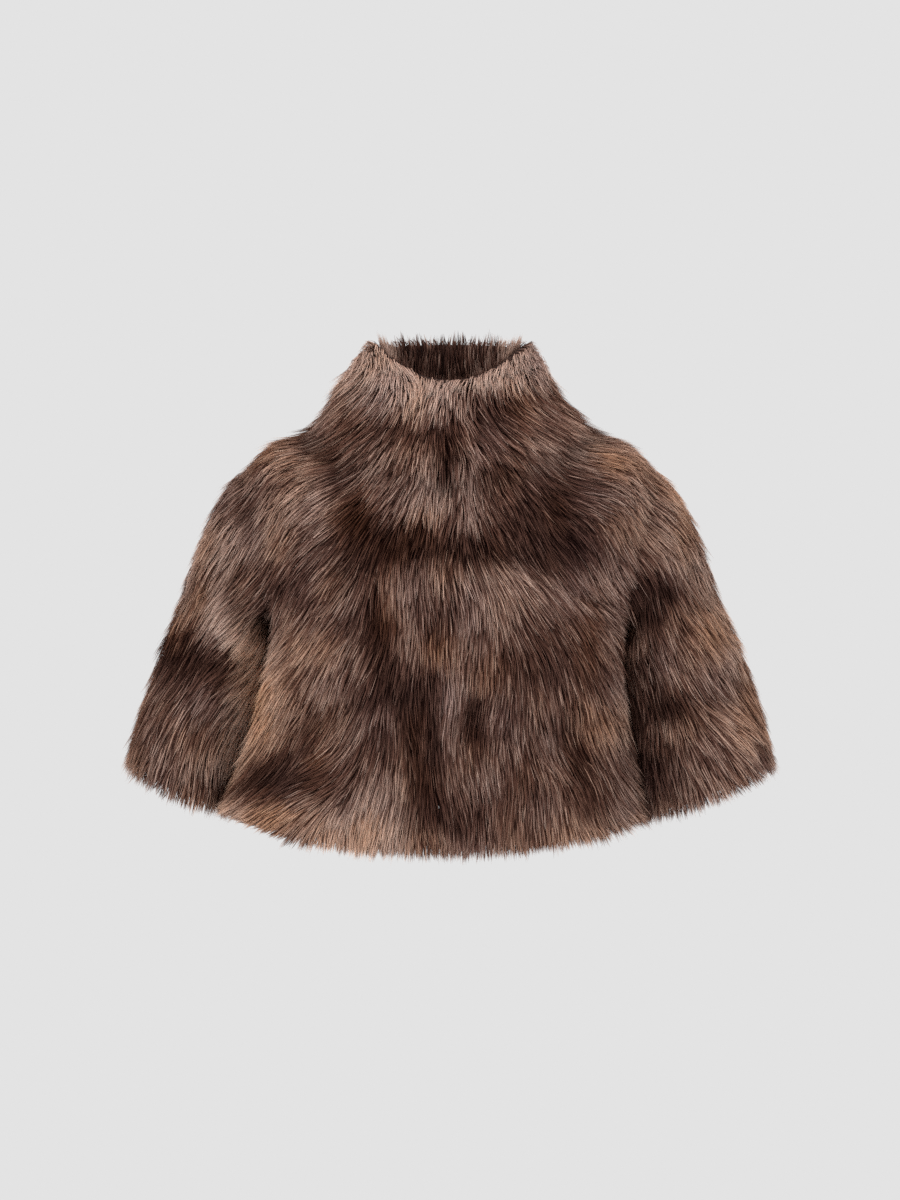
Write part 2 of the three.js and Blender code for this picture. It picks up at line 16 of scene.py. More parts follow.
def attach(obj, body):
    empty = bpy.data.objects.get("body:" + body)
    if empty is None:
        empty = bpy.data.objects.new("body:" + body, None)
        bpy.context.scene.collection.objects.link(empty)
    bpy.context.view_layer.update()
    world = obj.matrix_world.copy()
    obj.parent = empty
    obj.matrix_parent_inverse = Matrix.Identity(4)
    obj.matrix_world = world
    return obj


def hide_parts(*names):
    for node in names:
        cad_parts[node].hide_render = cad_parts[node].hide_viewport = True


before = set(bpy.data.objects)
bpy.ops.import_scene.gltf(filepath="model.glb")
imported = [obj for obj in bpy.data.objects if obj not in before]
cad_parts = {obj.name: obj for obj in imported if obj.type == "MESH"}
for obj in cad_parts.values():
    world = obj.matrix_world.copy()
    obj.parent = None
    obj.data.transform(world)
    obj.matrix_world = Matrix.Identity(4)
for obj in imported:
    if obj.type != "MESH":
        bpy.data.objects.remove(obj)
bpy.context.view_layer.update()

SEED = 20
MM = 0.001

scene = bpy.context.scene


def table(columns, rows):
    """A table as one array for each named column."""
    return {name: np.array(values) for name, values in zip(columns.split(), zip(*rows))}


def both_sides(columns, front, back=()):
    """A table of places on the front, whose y_side is -1, then on the back, where it is 1."""
    rows = [(-1, *row) for row in front] + [(1, *row) for row in back]
    return table("y_side " + columns, rows)


# ---- the hides' sizes, the same as the solids' ----
FUR = 23.0  # depth over the skin
FUR_PRESSED = 6.0
FUR_BESIDE_SLEEVE = 11.0
FUR_AT_NECKLINE = 38.0
ROW_SWELL = 5.0
SEAM_CLEARANCE = 0.2

RING = "half front back z_front z_side z_back shift"
BODY = table(RING + " recess power", [
    (105, 88, 72, -30, -2, 6, 0, 0, 2.1),
    (148, 108, 92, -62, -20, -22, 0, 0, 2.2),
    (188, 123, 104, -98, -42, -62, 0, 0, 2.3),
    (194, 130, 110, -132, -92, -108, 0, 0, 2.4),
    (188, 134, 112, -170, -146, -154, -1, 6, 2.4),
    (181, 136, 112, -212, -200, -203, -3, 19, 2.4),
    (182, 138, 112, -262, -246, -250, -5, 27, 2.4),
    (188, 141, 114, -316, -296, -302, -8, 22, 2.4),
    (195, 145, 118, -363, -344, -352, -11, 15, 2.35),
    (203, 150, 122, -411, -392, -400, -14, 9, 2.3),
])
SHOULDER = 2
UNDERARM = 5
ARMHOLE_MIDDLE = (SHOULDER + UNDERARM) / 2
ARMHOLE_REACH = (UNDERARM - SHOULDER) / 2
HEM = 9
FLUTES = table("angle width depth", [
    (-50, 16, 0.06),
    (-24, 9, -0.018),
    (20, 10, -0.02),
    (46, 13, 0.025),
    (140, 13, 0.03),
    (163, 9, -0.02),
    (186, 12, 0.03),
    (216, 11, -0.022),
    (236, 10, 0.018),
])
FLUTES_FROM = 5
ARMHOLE_FRONT = math.radians(30)
ARMHOLE_BACK = math.radians(33)
NECKLINE_FADES = 1.3  # rows of BODY over which the neckline's lean fades
NECKLINE_SHARE = 0.42  # the body's share in that lean

COLLAR = table(RING + " fur inside", [
    (105, 88, 72, -30, -2, 6, 0, FUR_AT_NECKLINE, 5),
    (91, 77, 64, 4, 37, 43, -3, 31, 11),
    (77, 67, 58, 38, 76, 79, 0, 22, 12),
])
RIM = 2
RIM_LIFT = 8.0  # the collar's front stands above the skin along the rim
COLLAR_POWER = 2.1  # how square its rings are

SLEEVE = table("x y z half depth tilt", [
    (218, 8, -188, 46, 66, 27),
    (236, 7, -250, 52, 70, 26),
    (254, 5, -312, 58, 75, 25),
    (265, 2, -373, 60, 79, 25),
])
CUFF = 4
SLEEVE_POWER = 2.15
CAP_SLOPE = math.radians(20)
CAP_FADES = 0.8  # part of the cap over which the armhole's lean and fur fade
ARMS = {
    "left": {"side": 1, "out": 0, "back": 0, "flatter": 1, "deeper": 1},
    "right": {"side": -1, "out": 10, "back": 28, "flatter": 0.86, "deeper": 1.06},
}

BODY_ROWS = (0, 2.75, 6.3, HEM)
SLEEVE_ROWS = (0, 0.9, 2.3, CUFF)
VALLEYS = both_sides("x0 z0 x1 z1 width depth", [
    (-116, -46, -82, -112, 20, 12), (-82, -112, 20, -124, 15, 12), (20, -124, 95, -128, 15, 10),
    (112, -72, 140, -118, 24, 15), (-84, -128, -68, -250, 17, 10), (-66, -262, -140, -322, 19, 10),
    (-24, -262, -23, -398, 15, 12), (20, -288, 30, -352, 13, 8), (118, -306, 146, -392, 16, 9),
    (-3, -22, -5, -48, 10, 14), (226, -168, 204, -186, 22, 10), (214, -290, 262, -282, 20, 9),
    (-228, -250, -280, -240, 28, 9), (-214, -150, -218, -190, 16, 9),
], [
    (-130, -84, 0, -118, 24, 9), (0, -118, 132, -98, 24, 9), (-64, -140, -84, -250, 22, 8),
    (54, -136, 70, -242, 22, 8), (4, -276, -6, -392, 19, 10), (98, -270, 122, -376, 20, 9),
    (-112, -280, -134, -382, 20, 9), (226, -220, 276, -232, 24, 9), (-230, -228, -274, -212, 24, 9),
])
CREASES = both_sides("x0 z0 x1 z1 width depth", [
    # under the bib, and between breast and waist
    (-96, -84, -80, -130, 8, 9), (-80, -130, -88, -153, 8, 9), (-88, -153, -82, -219, 8, 8),
    (-82, -219, -72, -258, 9, 10), (-72, -258, -45, -281, 9, 11), (-45, -281, -34, -324, 8, 10),
    (-34, -324, -29, -362, 8, 9), (-78, -284, -134, -306, 8, 9), (-134, -306, -142, -333, 9, 9),
    (-142, -333, -172, -354, 9, 9), (-42, -112, 22, -134, 8, 8), (22, -134, 74, -124, 8, 7),
    (78, -140, 146, -165, 8, 8), (26, -284, 28, -326, 7, 9), (137, -331, 150, -358, 7, 7),
    (150, -358, 156, -386, 7, 7),
    # sleeves
    (-239, -240, -247, -270, 8, 12), (-247, -270, -254, -302, 8, 8), (-254, -302, -255, -336, 7, 6),
    (-216, -123, -225, -178, 7, 8), (196, -162, 240, -174, 8, 8), (204, -290, 240, -297, 8, 7),
])
SWELLS = both_sides("x z width height", [
    (-30, -70, 48, 5), (52, -80, 44, 4), (-160, -150, 52, 4), (-180, -285, 46, 7), (110, -190, 56, 6),
    (-52, -180, 34, 5), (-82, -350, 36, 6), (78, -330, 40, 5), (160, -300, 30, 6),
], [
    (0, -190, 52, 6), (-130, -200, 46, 5), (134, -180, 46, 5), (-62, -330, 40, 6), (60, -330, 38, 6),
])

# The front's places are drawn as they are seen from here: how far off, how far down, and the
# height of the middle.
SEEN_FROM = 3200.0
SEEN_DOWN = math.radians(6)
SEEN_HEIGHT = -178.5

# ---- the way the fur lies in front, in degrees from straight down to the wearer's left ----
COMBED = table("x z angle", [
    # collar
    (-112, 74, -95), (-118, 45, -68), (-94, 48, -60), (-84, 78, 40), (-66, 66, 42), (-50, 55, 30),
    (-50, 26, -22), (-25, 36, -8), (0, 44, 0), (22, 54, -50), (44, 64, -45), (60, 74, -10),
    (40, 44, 26), (82, 66, 52), (75, 30, 55), (108, 42, 56), (50, 10, 48), (25, 10, 22), (110, 10, 60),
    (-100, 0, -48), (-70, 10, -40),
    # shoulders
    (-130, 15, -58), (-170, -10, -72), (-205, -48, -48), (-150, -60, -50), (-108, -58, -58),
    (-230, -95, -28), (-190, -100, -40), (-150, -120, -46), (-100, -150, -44), (130, 12, 66),
    (160, -5, 72), (185, -24, 74), (150, -34, 86), (142, -62, 72), (200, -62, 56), (228, -80, 50),
    (175, -105, 55), (240, -115, 48), (205, -100, 50),
    # bib
    (-50, -50, -26), (-55, -95, -34), (-20, -60, -9), (-20, -110, -8), (0, -90, 0), (25, -50, 5),
    (50, -25, 26), (50, -60, 16), (75, -50, 44), (100, -30, 56), (100, -62, 40), (75, -85, 34),
    (50, -100, 20), (118, -105, 40), (150, -125, 18), (130, -145, 34),
    # breast
    (-80, -165, -6), (-50, -160, 0), (-25, -200, 3), (0, -230, 0), (0, -280, 0), (30, -145, 10),
    (50, -150, 38), (75, -155, 45), (100, -180, 43), (140, -180, 55), (50, -192, 20), (25, -205, 4),
    (105, -208, 40), (150, -205, 48), (150, -232, 36), (175, -250, 40), (100, -250, 16), (50, -250, 4),
    # waist and hem
    (-200, -230, -50), (-150, -215, -44), (-128, -225, -40), (-100, -240, -26), (-208, -265, -55),
    (-196, -300, -50), (-172, -280, -18), (-202, -335, -50), (-160, -330, -6), (-202, -378, -46),
    (-70, -262, -10), (-132, -322, -52), (-102, -310, -32), (-76, -308, -5), (-50, -312, 2),
    (-142, -350, -78), (-122, -374, -52), (-100, -402, -18), (-50, -370, 0), (-96, -430, 0),
    (-20, -370, 6), (-14, -430, 5), (30, -320, 4), (100, -300, 0), (150, -280, 22), (166, -300, 12),
    (176, -322, 48), (130, -342, 42), (152, -332, 46), (178, -352, 30), (162, -372, 10),
    (178, -376, -20), (100, -400, 0), (50, -400, -5), (150, -425, 4),
    # sleeves
    (-252, -150, -36), (-278, -180, -50), (-300, -250, -46), (-326, -318, -42), (-336, -345, -54),
    (-270, -232, -32), (-240, -292, -30), (-286, -330, -15), (-270, -352, -10), (-292, -372, -16),
    (-232, -398, -20), (178, -142, 40), (215, -160, 4), (242, -150, 30), (270, -170, 36),
    (230, -200, -8), (252, -200, 30), (276, -202, 50), (220, -242, 14), (250, -270, 30),
    (290, -270, 46), (206, -302, 0), (240, -320, 20), (262, -330, 40), (300, -320, 66), (326, -330, 62),
    (320, -360, 60), (276, -350, 32), (240, -372, 20), (262, -388, 30), (200, -372, -4), (206, -410, 0),
])
COMB_WIDTH = 26.0

# ---- light and dark in the fur: its own colour, and painted shade in the darkest patches along valleys, creases and grooves. tone: -1 nearly black, 1 pale. warm: -1 greyish mauve, 1 tan ----
PATCHES = both_sides("x z across down tone warm", [
    # collar
    (-98, 84, 34, 24, 1.6, -0.35), (-60, 64, 36, 18, 0.9, -0.2), (-30, 34, 34, 24, 0.65, -0.25),
    (12, 54, 40, 12, 0.5, -0.2), (84, 84, 32, 24, 1.05, -0.3), (46, 66, 26, 16, 1.1, -0.2),
    (-20, 60, 70, 10, 0.4, 0), (-48, -4, 82, 18, -0.75, 0), (54, 28, 24, 16, -0.75, 0),
    (40, 8, 50, 18, -0.4, 0), (110, 36, 22, 24, -0.4, 0.2), (104, -8, 24, 18, -0.25, 0),
    (-50, 4, 12, 10, -0.45, 0), (1, -22, 8, 26, -0.75, 0),
    # shoulders
    (-172, -8, 26, 12, -0.15, 0.55), (-190, -30, 28, 22, 0.1, 0.5), (-110, -34, 26, 14, -0.25, 0.3),
    (-104, -104, 32, 26, -0.7, 0.35), (-158, -86, 36, 22, 0.45, 0.15), (-212, -90, 26, 18, -0.5, 0),
    (-232, -126, 32, 32, 0.55, -0.15), (-286, -116, 24, 30, 0.65, 0.2), (156, -44, 30, 18, 0.12, 0.5),
    (205, -38, 34, 24, 0.22, 0.35), (238, -92, 22, 44, 0.35, 0.3), (240, -60, 26, 24, 0.4, 0.2),
    (94, -84, 26, 36, -0.7, -0.1), (124, -126, 40, 26, -0.5, -0.25), (90, -112, 26, 22, -0.45, 0),
    (152, -124, 22, 20, 0.35, -0.5), (190, -105, 36, 34, 0.1, 0), (156, -56, 22, 16, -0.3, 0),
    # bib
    (-24, -62, 18, 34, 0.35, -0.05), (-22, -98, 22, 18, 0.15, 0.1), (22, -70, 12, 40, 0.12, -0.15),
    # the last row here and the next row are painted shade under the bib's lower edge
    (48, -56, 24, 34, -0.5, 0), (62, -100, 28, 18, -0.5, 0), (-68, -128, 42, 20, -1.15, 0.1),
    (20, -128, 50, 12, -0.35, 0),
    # breast
    (-76, -158, 20, 20, 0.3, 0.5), (-34, -166, 18, 18, -0.15, 0), (-100, -140, 14, 26, -0.35, 0),
    (0, -182, 22, 18, -0.4, 0), (64, -160, 44, 16, 0.35, -0.05), (-168, -166, 28, 26, -0.85, 0),
    (130, -166, 30, 14, 0.1, -0.15), (-84, -206, 34, 16, -0.4, 0), (-12, -212, 28, 22, -0.5, 0),
    (120, -204, 44, 26, -0.4, 0), (52, -224, 22, 16, 0.05, 0), (92, -250, 44, 30, -0.85, 0.05),
    (-72, -240, 20, 34, -0.35, 0), (-6, -282, 18, 34, 0.25, -0.3), (148, -246, 24, 24, -0.3, 0),
    (42, -285, 20, 26, -0.15, 0), (0, -254, 22, 14, -0.25, 0),
    # waist
    (-192, -278, 26, 44, 0.7, 0.7), (-170, -226, 46, 14, 0.2, 0.25), (-124, -302, 20, 22, 0.62, 0.2),
    (-134, -256, 34, 16, -0.3, 0), (-46, -284, 30, 22, -0.5, -0.1), (-26, -336, 15, 36, -0.9, -0.1),
    (-24, -380, 12, 26, -0.6, 0), (-66, -332, 22, 22, -0.8, -0.2), (-68, -384, 22, 18, 0.4, 0),
    (-152, -362, 34, 22, -0.85, -0.15), (-184, -372, 26, 22, -1.05, 0), (-136, -350, 12, 8, 0.3, 0.4),
    (-114, -390, 18, 14, -0.25, 0), (28, -316, 12, 30, -0.4, 0), (158, -300, 24, 26, 0.22, 0.5),
    (132, -346, 10, 24, -0.35, 0), (80, -330, 26, 40, -0.25, -0.2), (20, -332, 26, 34, -0.2, -0.1),
    (88, -382, 34, 24, -0.45, -0.1),
    # hem
    (-92, -424, 58, 20, 0.88, 0.4), (-172, -408, 26, 16, 0.25, 0.5), (2, -410, 34, 26, -0.95, 0),
    (66, -412, 40, 20, -0.25, 0.2), (150, -424, 36, 18, 0.3, 0.5), (-215, -402, 50, 18, 0.3, 0.4),
    # sleeves
    (-276, -186, 24, 26, 0.15, 0.5), (-276, -242, 42, 32, -0.75, 0.1), (-300, -204, 18, 26, -0.1, 0.3),
    # the second and third rows here are painted shade in the left groove, and the second and third rows of
    # the next line painted light against it
    (-226, -160, 18, 28, 0.5, 0.1), (-234, -258, 8, 20, -0.4, 0), (-224, -180, 8, 22, -0.2, 0),
    (-220, -205, 20, 18, 0.3, 0.1), (-216, -262, 18, 44, 0.9, 0.2), (-218, -340, 20, 30, 0.85, 0.1),
    (-264, -352, 34, 26, 0.22, 0.3), (-322, -330, 18, 30, -0.1, 0.3), (-240, -378, 30, 14, -0.3, 0.1),
    # the second and third rows here are painted shade in the right groove
    (216, -176, 24, 24, -0.45, -0.1), (206, -232, 20, 48, -1, 0), (206, -350, 20, 66, -1.25, -0.1),
    (228, -244, 18, 18, 0.25, -0.45), (232, -290, 26, 14, -0.3, 0), (286, -210, 26, 46, 0.45, 0.45),
    (312, -284, 22, 34, 0.3, 0.4), (254, -158, 22, 28, 0.5, 0.2), (266, -308, 28, 24, 0.22, 0.1),
    (305, -374, 30, 18, 0.05, 0.5), (232, -348, 24, 26, -0.3, 0), (240, -262, 20, 10, 0.3, 0),
    (244, -200, 18, 18, -0.2, 0.1),
], [
    (-22, 94, 40, 16, -0.9, 0), (46, 92, 24, 16, -0.3, 0.2), (0, 40, 70, 20, 0.4, 0.1),
    (-60, -60, 44, 34, 0.25, 0.2), (62, -52, 40, 38, 0.2, -0.1), (0, -112, 70, 16, -0.45, 0),
    (-120, -120, 40, 30, -0.35, 0.1), (120, -130, 36, 34, -0.4, -0.1), (0, -190, 44, 44, 0.3, 0.1),
    (-140, -210, 34, 50, 0.25, 0.5), (140, -200, 32, 50, 0.2, 0.3), (0, -300, 16, 50, -0.5, 0),
    (-64, -330, 34, 40, 0.2, -0.1), (66, -330, 34, 40, 0.22, 0.2), (-110, -300, 14, 50, -0.4, 0),
    (112, -310, 14, 50, -0.4, 0), (-80, -408, 90, 16, 0.4, 0.6), (90, -404, 90, 16, 0.4, 0.6),
    (250, -220, 40, 18, -0.35, 0), (-255, -220, 40, 18, -0.35, 0), (270, -300, 40, 44, 0.25, 0.4),
    (-280, -300, 40, 44, 0.25, 0.4), (215, -80, 40, 40, 0.15, 0.3), (-215, -80, 40, 40, 0.15, 0.3),
])

# ---- the fur ----
UNDERFUR = 0.42  # the hide's outside, as a share of the fur's depth
UNDERFUR_PRESSED = 0.88  # the same where sleeve and body press the fur down
UNDERFUR_INSIDE = 0.4  # the same inside the collar
SWELL_GAIN = 1.4  # swells and valleys are this much stronger than in the solids
VALLEY_GAIN = 1.6
DEEPEST = 15.0  # no parting is deeper than this
FACE_RELIEF = 1.9  # how much of the fur's relief its shading shows
TONE = -0.10  # of the fur outside the patches, and how unevenly it goes lighter and darker
TONE_UNEVEN = 0.13, 0.06
WARM = 0.10
WARM_UNEVEN = 0.28
VALLEY_PAINTED_SHADE = 0.05  # painted shade: tone lost for each millimetre of a valley
DARKEST = -1.4  # below what the colours show, so that pale tips stay dark in the darkest patches and in painted shade

LAY = 38.0  # how far a hair's tip lies from its root, along the skin
LAY_AT_RIM = 29.0
LAY_INSIDE = 26.0
PAST_HEM = 14.0  # how far the tips reach past an edge
CORNER_TRIM = 13.0  # and how much less that is at the right front corner
PAST_CUFF = 13.0
PAST_RIM = 19.0

# The grooves are the deep lines between body and sleeves.
GROOVE_MIDDLE = -9.0, 8.0  # x and y halfway between them
GROOVES_APART = 199.0  # from there to each groove
GROOVE_WIDTH = 30.0
LEAST_FUR = 15.0  # the least depth of fur on body and sleeves, as in a groove
FUR_OVER_GROOVE = 38.0  # and at its front and back, where the hair closes it
LONGER_BEHIND = 1.3
GROOVE_PAINTED_LIGHT = 0.02  # how much paler, as painted light against the grooves' shade, and how much denser, for each millimetre that the hair is longer there
GROOVE_DENSITY = 0.06
BRIDGE_APART = 181.0  # from the middle to the body's corners, whose hair lies over the grooves
BRIDGE_WIDTH = 26.0
BRIDGE_TURN = 0.9  # how far that hair turns outward, and how much longer it lies
BRIDGE_LAY = 20.0

INSIDE_PAINTED_SHADE = -0.52  # painted shade inside the collar
RIM_TONE = 0.4  # how much paler the collar is at its rim

HAIRS_IN_LOCK = 2
LOCKS_IN_TUFT = 9
TUFT_PULL = 0.42  # how far the locks' tips are drawn together
LOCK_SPREAD = 0.6  # half the width of a lock at its root
HAIR_WIDTH = 0.72
STRAY = 6.0  # how far a lock turns from the combed way, in degrees
ROOT_HEIGHT = 0.92  # as a share of the hide's depth
LOWEST_TIP = 0.74  # how high the tips lie, as shares of the fur's depth
HIGHEST_TIP = 1.14
RUN = 0.45, 0.55  # how a hair's lay is shared between its lower and its upper half
RISE = 0.68, 0.32  # and how its height is
PALE_HAIRS = 0.16  # the share of paler hairs, and how much paler they are
PALE_HAIR = 0.5

UP = np.array([0.0, 0.0, 1.0])


# ---- small mathematics ----
def smooth(x):
    t = np.clip(x, 0, 1)
    return t * t * (3 - 2 * t)


def bell(x, width):
    return np.exp(-((x / width) ** 2))


def signed_power(x, power):
    return np.sign(x) * np.abs(x) ** power


def unit(v):
    return v / np.maximum(np.linalg.norm(v, axis=-1, keepdims=True), 1e-9)


def rising(value, start, length):
    """0 up to start, 1 from start + length on, and smooth between."""
    return smooth((value - start) / length)


def between(a, b, share):
    return a * (1 - share) + b * share


def mixed(a, b, share):
    return unit(between(a, b, np.asarray(share)[..., None]))


def dot(a, b):
    return np.sum(a * b, axis=-1)


def along_skin(way, lean):
    """The unit way that is nearest to another and square to the lean."""
    return unit(way - lean * dot(way, lean)[..., None])


def vectors(x, y, z):
    return np.stack(np.broadcast_arrays(x, y, z), axis=-1).astype(float)


def at(rows, place, column):
    """A table's column at a place between its rows, on a smooth curve through them."""
    values = rows[column].astype(float)
    last = len(values) - 1
    p = np.clip(place, 0, last)
    i = np.minimum(p.astype(int), last - 1)
    t = p - i
    a, b, c, d = (values[np.clip(i + k, 0, last)] for k in (-1, 0, 1, 2))
    bend = 2 * b - 2 * c + (c - a) / 2 + (d - b) / 2
    return b + t * ((c - a) / 2 + t * (c - b - (c - a) / 2 - bend + t * bend))


def normal_of(surface, a, b):
    step = 0.01
    da = surface(a + step, b) - surface(a - step, b)
    db = surface(a, b + step) - surface(a, b - step)
    return unit(np.cross(da, db))


class Swirl:
    """Smooth uneven numbers from about -1 to 1 over space, the same on each run."""

    def __init__(self, size, seed, waves=14):
        rng = np.random.default_rng(SEED + seed)
        self.ways = unit(rng.normal(size=(waves, 3))) * (2 * np.pi / size)
        self.ways = self.ways * rng.uniform(0.6, 1.5, (waves, 1))
        self.phases = rng.uniform(0, 2 * np.pi, waves)
        self.scale = math.sqrt(2.0 / waves) * 0.8

    def __call__(self, points):
        return np.sin(points @ self.ways.T + self.phases).sum(axis=-1) * self.scale


# ---- the skin side of body, collar and sleeves, as in the solids ----
def flute_at(angle, v):
    """How much wider the body is here, in its flutes, than without them."""
    grown = rising(v, FLUTES_FROM, HEM - FLUTES_FROM)
    total = np.ones_like(angle)
    for middle, width, depth in zip(*FLUTES.values()):
        away = angle - math.radians(middle)
        away = np.arctan2(np.sin(away), np.cos(away))
        total = total + depth * grown * bell(away, math.radians(width))
    return total


def ring_point(rows, angle, v, half, power):
    s, c = np.sin(angle), np.cos(angle)
    depth = np.where(c > 0, at(rows, v, "front"), at(rows, v, "back"))
    z_middle = np.where(c > 0, at(rows, v, "z_front"), at(rows, v, "z_back"))
    z = at(rows, v, "z_side") * s * s + z_middle * c * c
    return vectors(half * signed_power(s, 2 / power), -depth * signed_power(c, 2 / power), z)


def body_skin(angle, v):
    hollow = at(BODY, v, "recess") * bell(np.cos(angle) + 0.12, 0.5)
    p = ring_point(BODY, angle, v, at(BODY, v, "half") - hollow, at(BODY, v, "power"))
    p[..., :2] *= flute_at(angle, v)[..., None]
    p[..., 0] += at(BODY, v, "shift")
    return p


def collar_skin(angle, c):
    p = ring_point(COLLAR, angle, c, at(COLLAR, c, "half"), COLLAR_POWER)
    p[..., 0] += at(COLLAR, c, "shift")
    p[..., 2] += RIM_LIFT * smooth(0.5 + 0.9 * np.cos(angle)) * smooth((c - RIM + 0.45) / 0.45)
    return p


def body_own_normal(angle, v):
    return -normal_of(body_skin, angle, v)


def collar_normal(angle, c):
    return normal_of(collar_skin, angle, np.clip(c, 0.02, 1.98))


def neckline_normal(angle):
    low = np.zeros_like(angle)
    return mixed(collar_normal(angle, low), body_own_normal(angle, low + 0.02), NECKLINE_SHARE)


def armhole_edge(arm, turn):
    opening = np.where(np.sin(turn) > 0, ARMHOLE_FRONT, ARMHOLE_BACK)
    angle = arm["side"] * (np.pi / 2 - opening * np.sin(turn))
    return angle, ARMHOLE_MIDDLE - ARMHOLE_REACH * np.cos(turn)


def sleeve_ring(arm, turn, place):
    lowered = place / (CUFF - 1)
    tilt = np.radians(at(SLEEVE, place, "tilt"))
    half = at(SLEEVE, place, "half") * (1 + (arm["flatter"] - 1) * smooth(lowered * 1.5))
    depth = at(SLEEVE, place, "depth") * (1 + (arm["deeper"] - 1) * smooth(lowered * 1.5))
    out = half * signed_power(np.cos(turn), 2 / SLEEVE_POWER)
    forward = depth * signed_power(np.sin(turn), 2 / SLEEVE_POWER)
    x = at(SLEEVE, place, "x") + arm["out"] * lowered + out * np.cos(tilt)
    y = at(SLEEVE, place, "y") + arm["back"] * lowered - forward
    return vectors(arm["side"] * x, y, at(SLEEVE, place, "z") + out * np.sin(tilt))


def sleeve_cap(arm, turn, place):
    start_at = body_skin(*armhole_edge(arm, turn))
    end_at = sleeve_ring(arm, turn, np.zeros_like(turn))
    chord = end_at - start_at
    length = np.linalg.norm(chord, axis=-1, keepdims=True)
    outward = np.array([arm["side"] * math.cos(CAP_SLOPE), 0, -math.sin(CAP_SLOPE)]) * length
    start = between(chord, outward, 0.75 * np.maximum(0, np.cos(turn))[..., None])
    end = unit(sleeve_ring(arm, turn, np.full_like(turn, 0.3)) - end_at) * length
    t = np.clip(place, 0, 1)[..., None]
    return (
        start_at * (1 + 2 * t) * (1 - t) ** 2
        + start * t * (1 - t) ** 2
        + end_at * t * t * (3 - 2 * t)
        + end * t * t * (t - 1)
    )


def sleeve_skin(arm, turn, place):
    ring = sleeve_ring(arm, turn, np.maximum(place - 1, 0))
    return np.where((place < 1)[..., None], sleeve_cap(arm, turn, place), ring)


def sleeve_own_normal(arm, turn, place):
    own = normal_of(lambda a, b: sleeve_skin(arm, a, b), turn, np.maximum(place, 0.02))
    return own * arm["side"]


# Where two pieces are sewn, both walls lean the same way.
def armhole_normal(arm, turn):
    own = body_own_normal(*armhole_edge(arm, turn))
    return mixed(own, sleeve_own_normal(arm, turn, np.full_like(turn, 0.15)), 0.5)


def near_armhole(angle, v):
    """The angle round the nearer armhole, and 0 on its edge to 1 away from it."""
    away = np.pi / 2 - np.abs(np.arctan2(np.sin(angle), np.cos(angle)))
    across = away / np.where(away > 0, ARMHOLE_FRONT, ARMHOLE_BACK)
    along = (v - ARMHOLE_MIDDLE) / ARMHOLE_REACH
    return np.arctan2(across, -along), smooth((np.hypot(across, along) - 1) / 0.5)


def by_side(angle, of_arm):
    """What of_arm gives for the left arm on the left of the body, and for the right one on the right."""
    left, right = of_arm(ARMS["left"]), of_arm(ARMS["right"])
    on_left = np.sin(angle) > 0
    return np.where(on_left[..., None] if left.ndim > on_left.ndim else on_left, left, right)


def body_normal(angle, v):
    own = body_own_normal(angle, np.clip(v, 0.02, HEM - 0.02))
    turn, share = near_armhole(angle, v)
    below = mixed(by_side(angle, lambda arm: armhole_normal(arm, turn)), own, share)
    above = mixed(neckline_normal(angle), own, smooth(v / NECKLINE_FADES))
    return np.where((v < NECKLINE_FADES)[..., None], above, below)


def sleeve_normal(arm, turn, place):
    own = sleeve_own_normal(arm, turn, np.clip(place, 0.15, CUFF - 0.02))
    return mixed(armhole_normal(arm, turn), own, smooth(place / CAP_FADES))


# ---- the fur's depth over the skin, as in the solids but for the stronger relief ----
def row_swell(rows, place):
    k = np.clip(np.searchsorted(rows, place), 1, len(rows) - 1)
    ends = np.array(rows, float)
    down = (place - ends[k - 1]) / (ends[k] - ends[k - 1])
    return ROW_SWELL * (np.maximum(down, 0) ** 1.4 - 0.45) * smooth((1.04 - down) / 0.1)


def drawn(p):
    """Points as across, y and up: as seen from the front, or behind as they are."""
    x, y, z = p[..., 0], p[..., 1], p[..., 2]
    up = z - SEEN_HEIGHT
    nearer = SEEN_FROM / (SEEN_FROM + y * math.cos(SEEN_DOWN) - up * math.sin(SEEN_DOWN))
    seen = (y * math.sin(SEEN_DOWN) + up * math.cos(SEEN_DOWN)) * nearer + SEEN_HEIGHT
    front = y < 0
    return np.where(front, x * nearer, x), y, np.where(front, seen, z)


def parted(p, partings):
    """How deep the fur is parted along lines; it fades towards the sides."""
    x, y, z = drawn(p)
    low = np.zeros_like(x)
    for y_side, x0, z0, x1, z1, width, depth in zip(*partings.values()):
        dx, dz = x1 - x0, z1 - z0
        t = np.clip(((x - x0) * dx + (z - z0) * dz) / (dx * dx + dz * dz), 0, 1)
        valley = depth * bell(np.hypot(x - x0 - t * dx, z - z0 - t * dz), width)
        low = np.maximum(low, np.where(y * y_side > 0, valley, 0))
    return smooth(np.abs(y) / 35) * low


def swells_at(p):
    x, y, z = drawn(p)
    high = np.zeros_like(x)
    for y_side, x0, z0, width, height in zip(*SWELLS.values()):
        high = high + np.where(y * y_side > 0, height * bell(np.hypot(x - x0, z - z0), width), 0)
    return smooth(np.abs(y) / 35) * high


def valleys_at(p):
    return parted(p, VALLEYS) + parted(p, CREASES)


def relief_at(p):
    low = VALLEY_GAIN * valleys_at(p)
    return SWELL_GAIN * swells_at(p) - DEEPEST * np.tanh(low / DEEPEST)


def pressed_fur(free, lowness):
    pressed = FUR_PRESSED + (FUR_BESIDE_SLEEVE - FUR_PRESSED) * smooth(lowness)
    return pressed + (FUR - pressed) * free


def armhole_fur(arm, turn):
    free = 1 - rising(-np.cos(turn), 0.3, 0.6)
    return pressed_fur(free, 0.0) + relief_at(body_skin(*armhole_edge(arm, turn))) * free


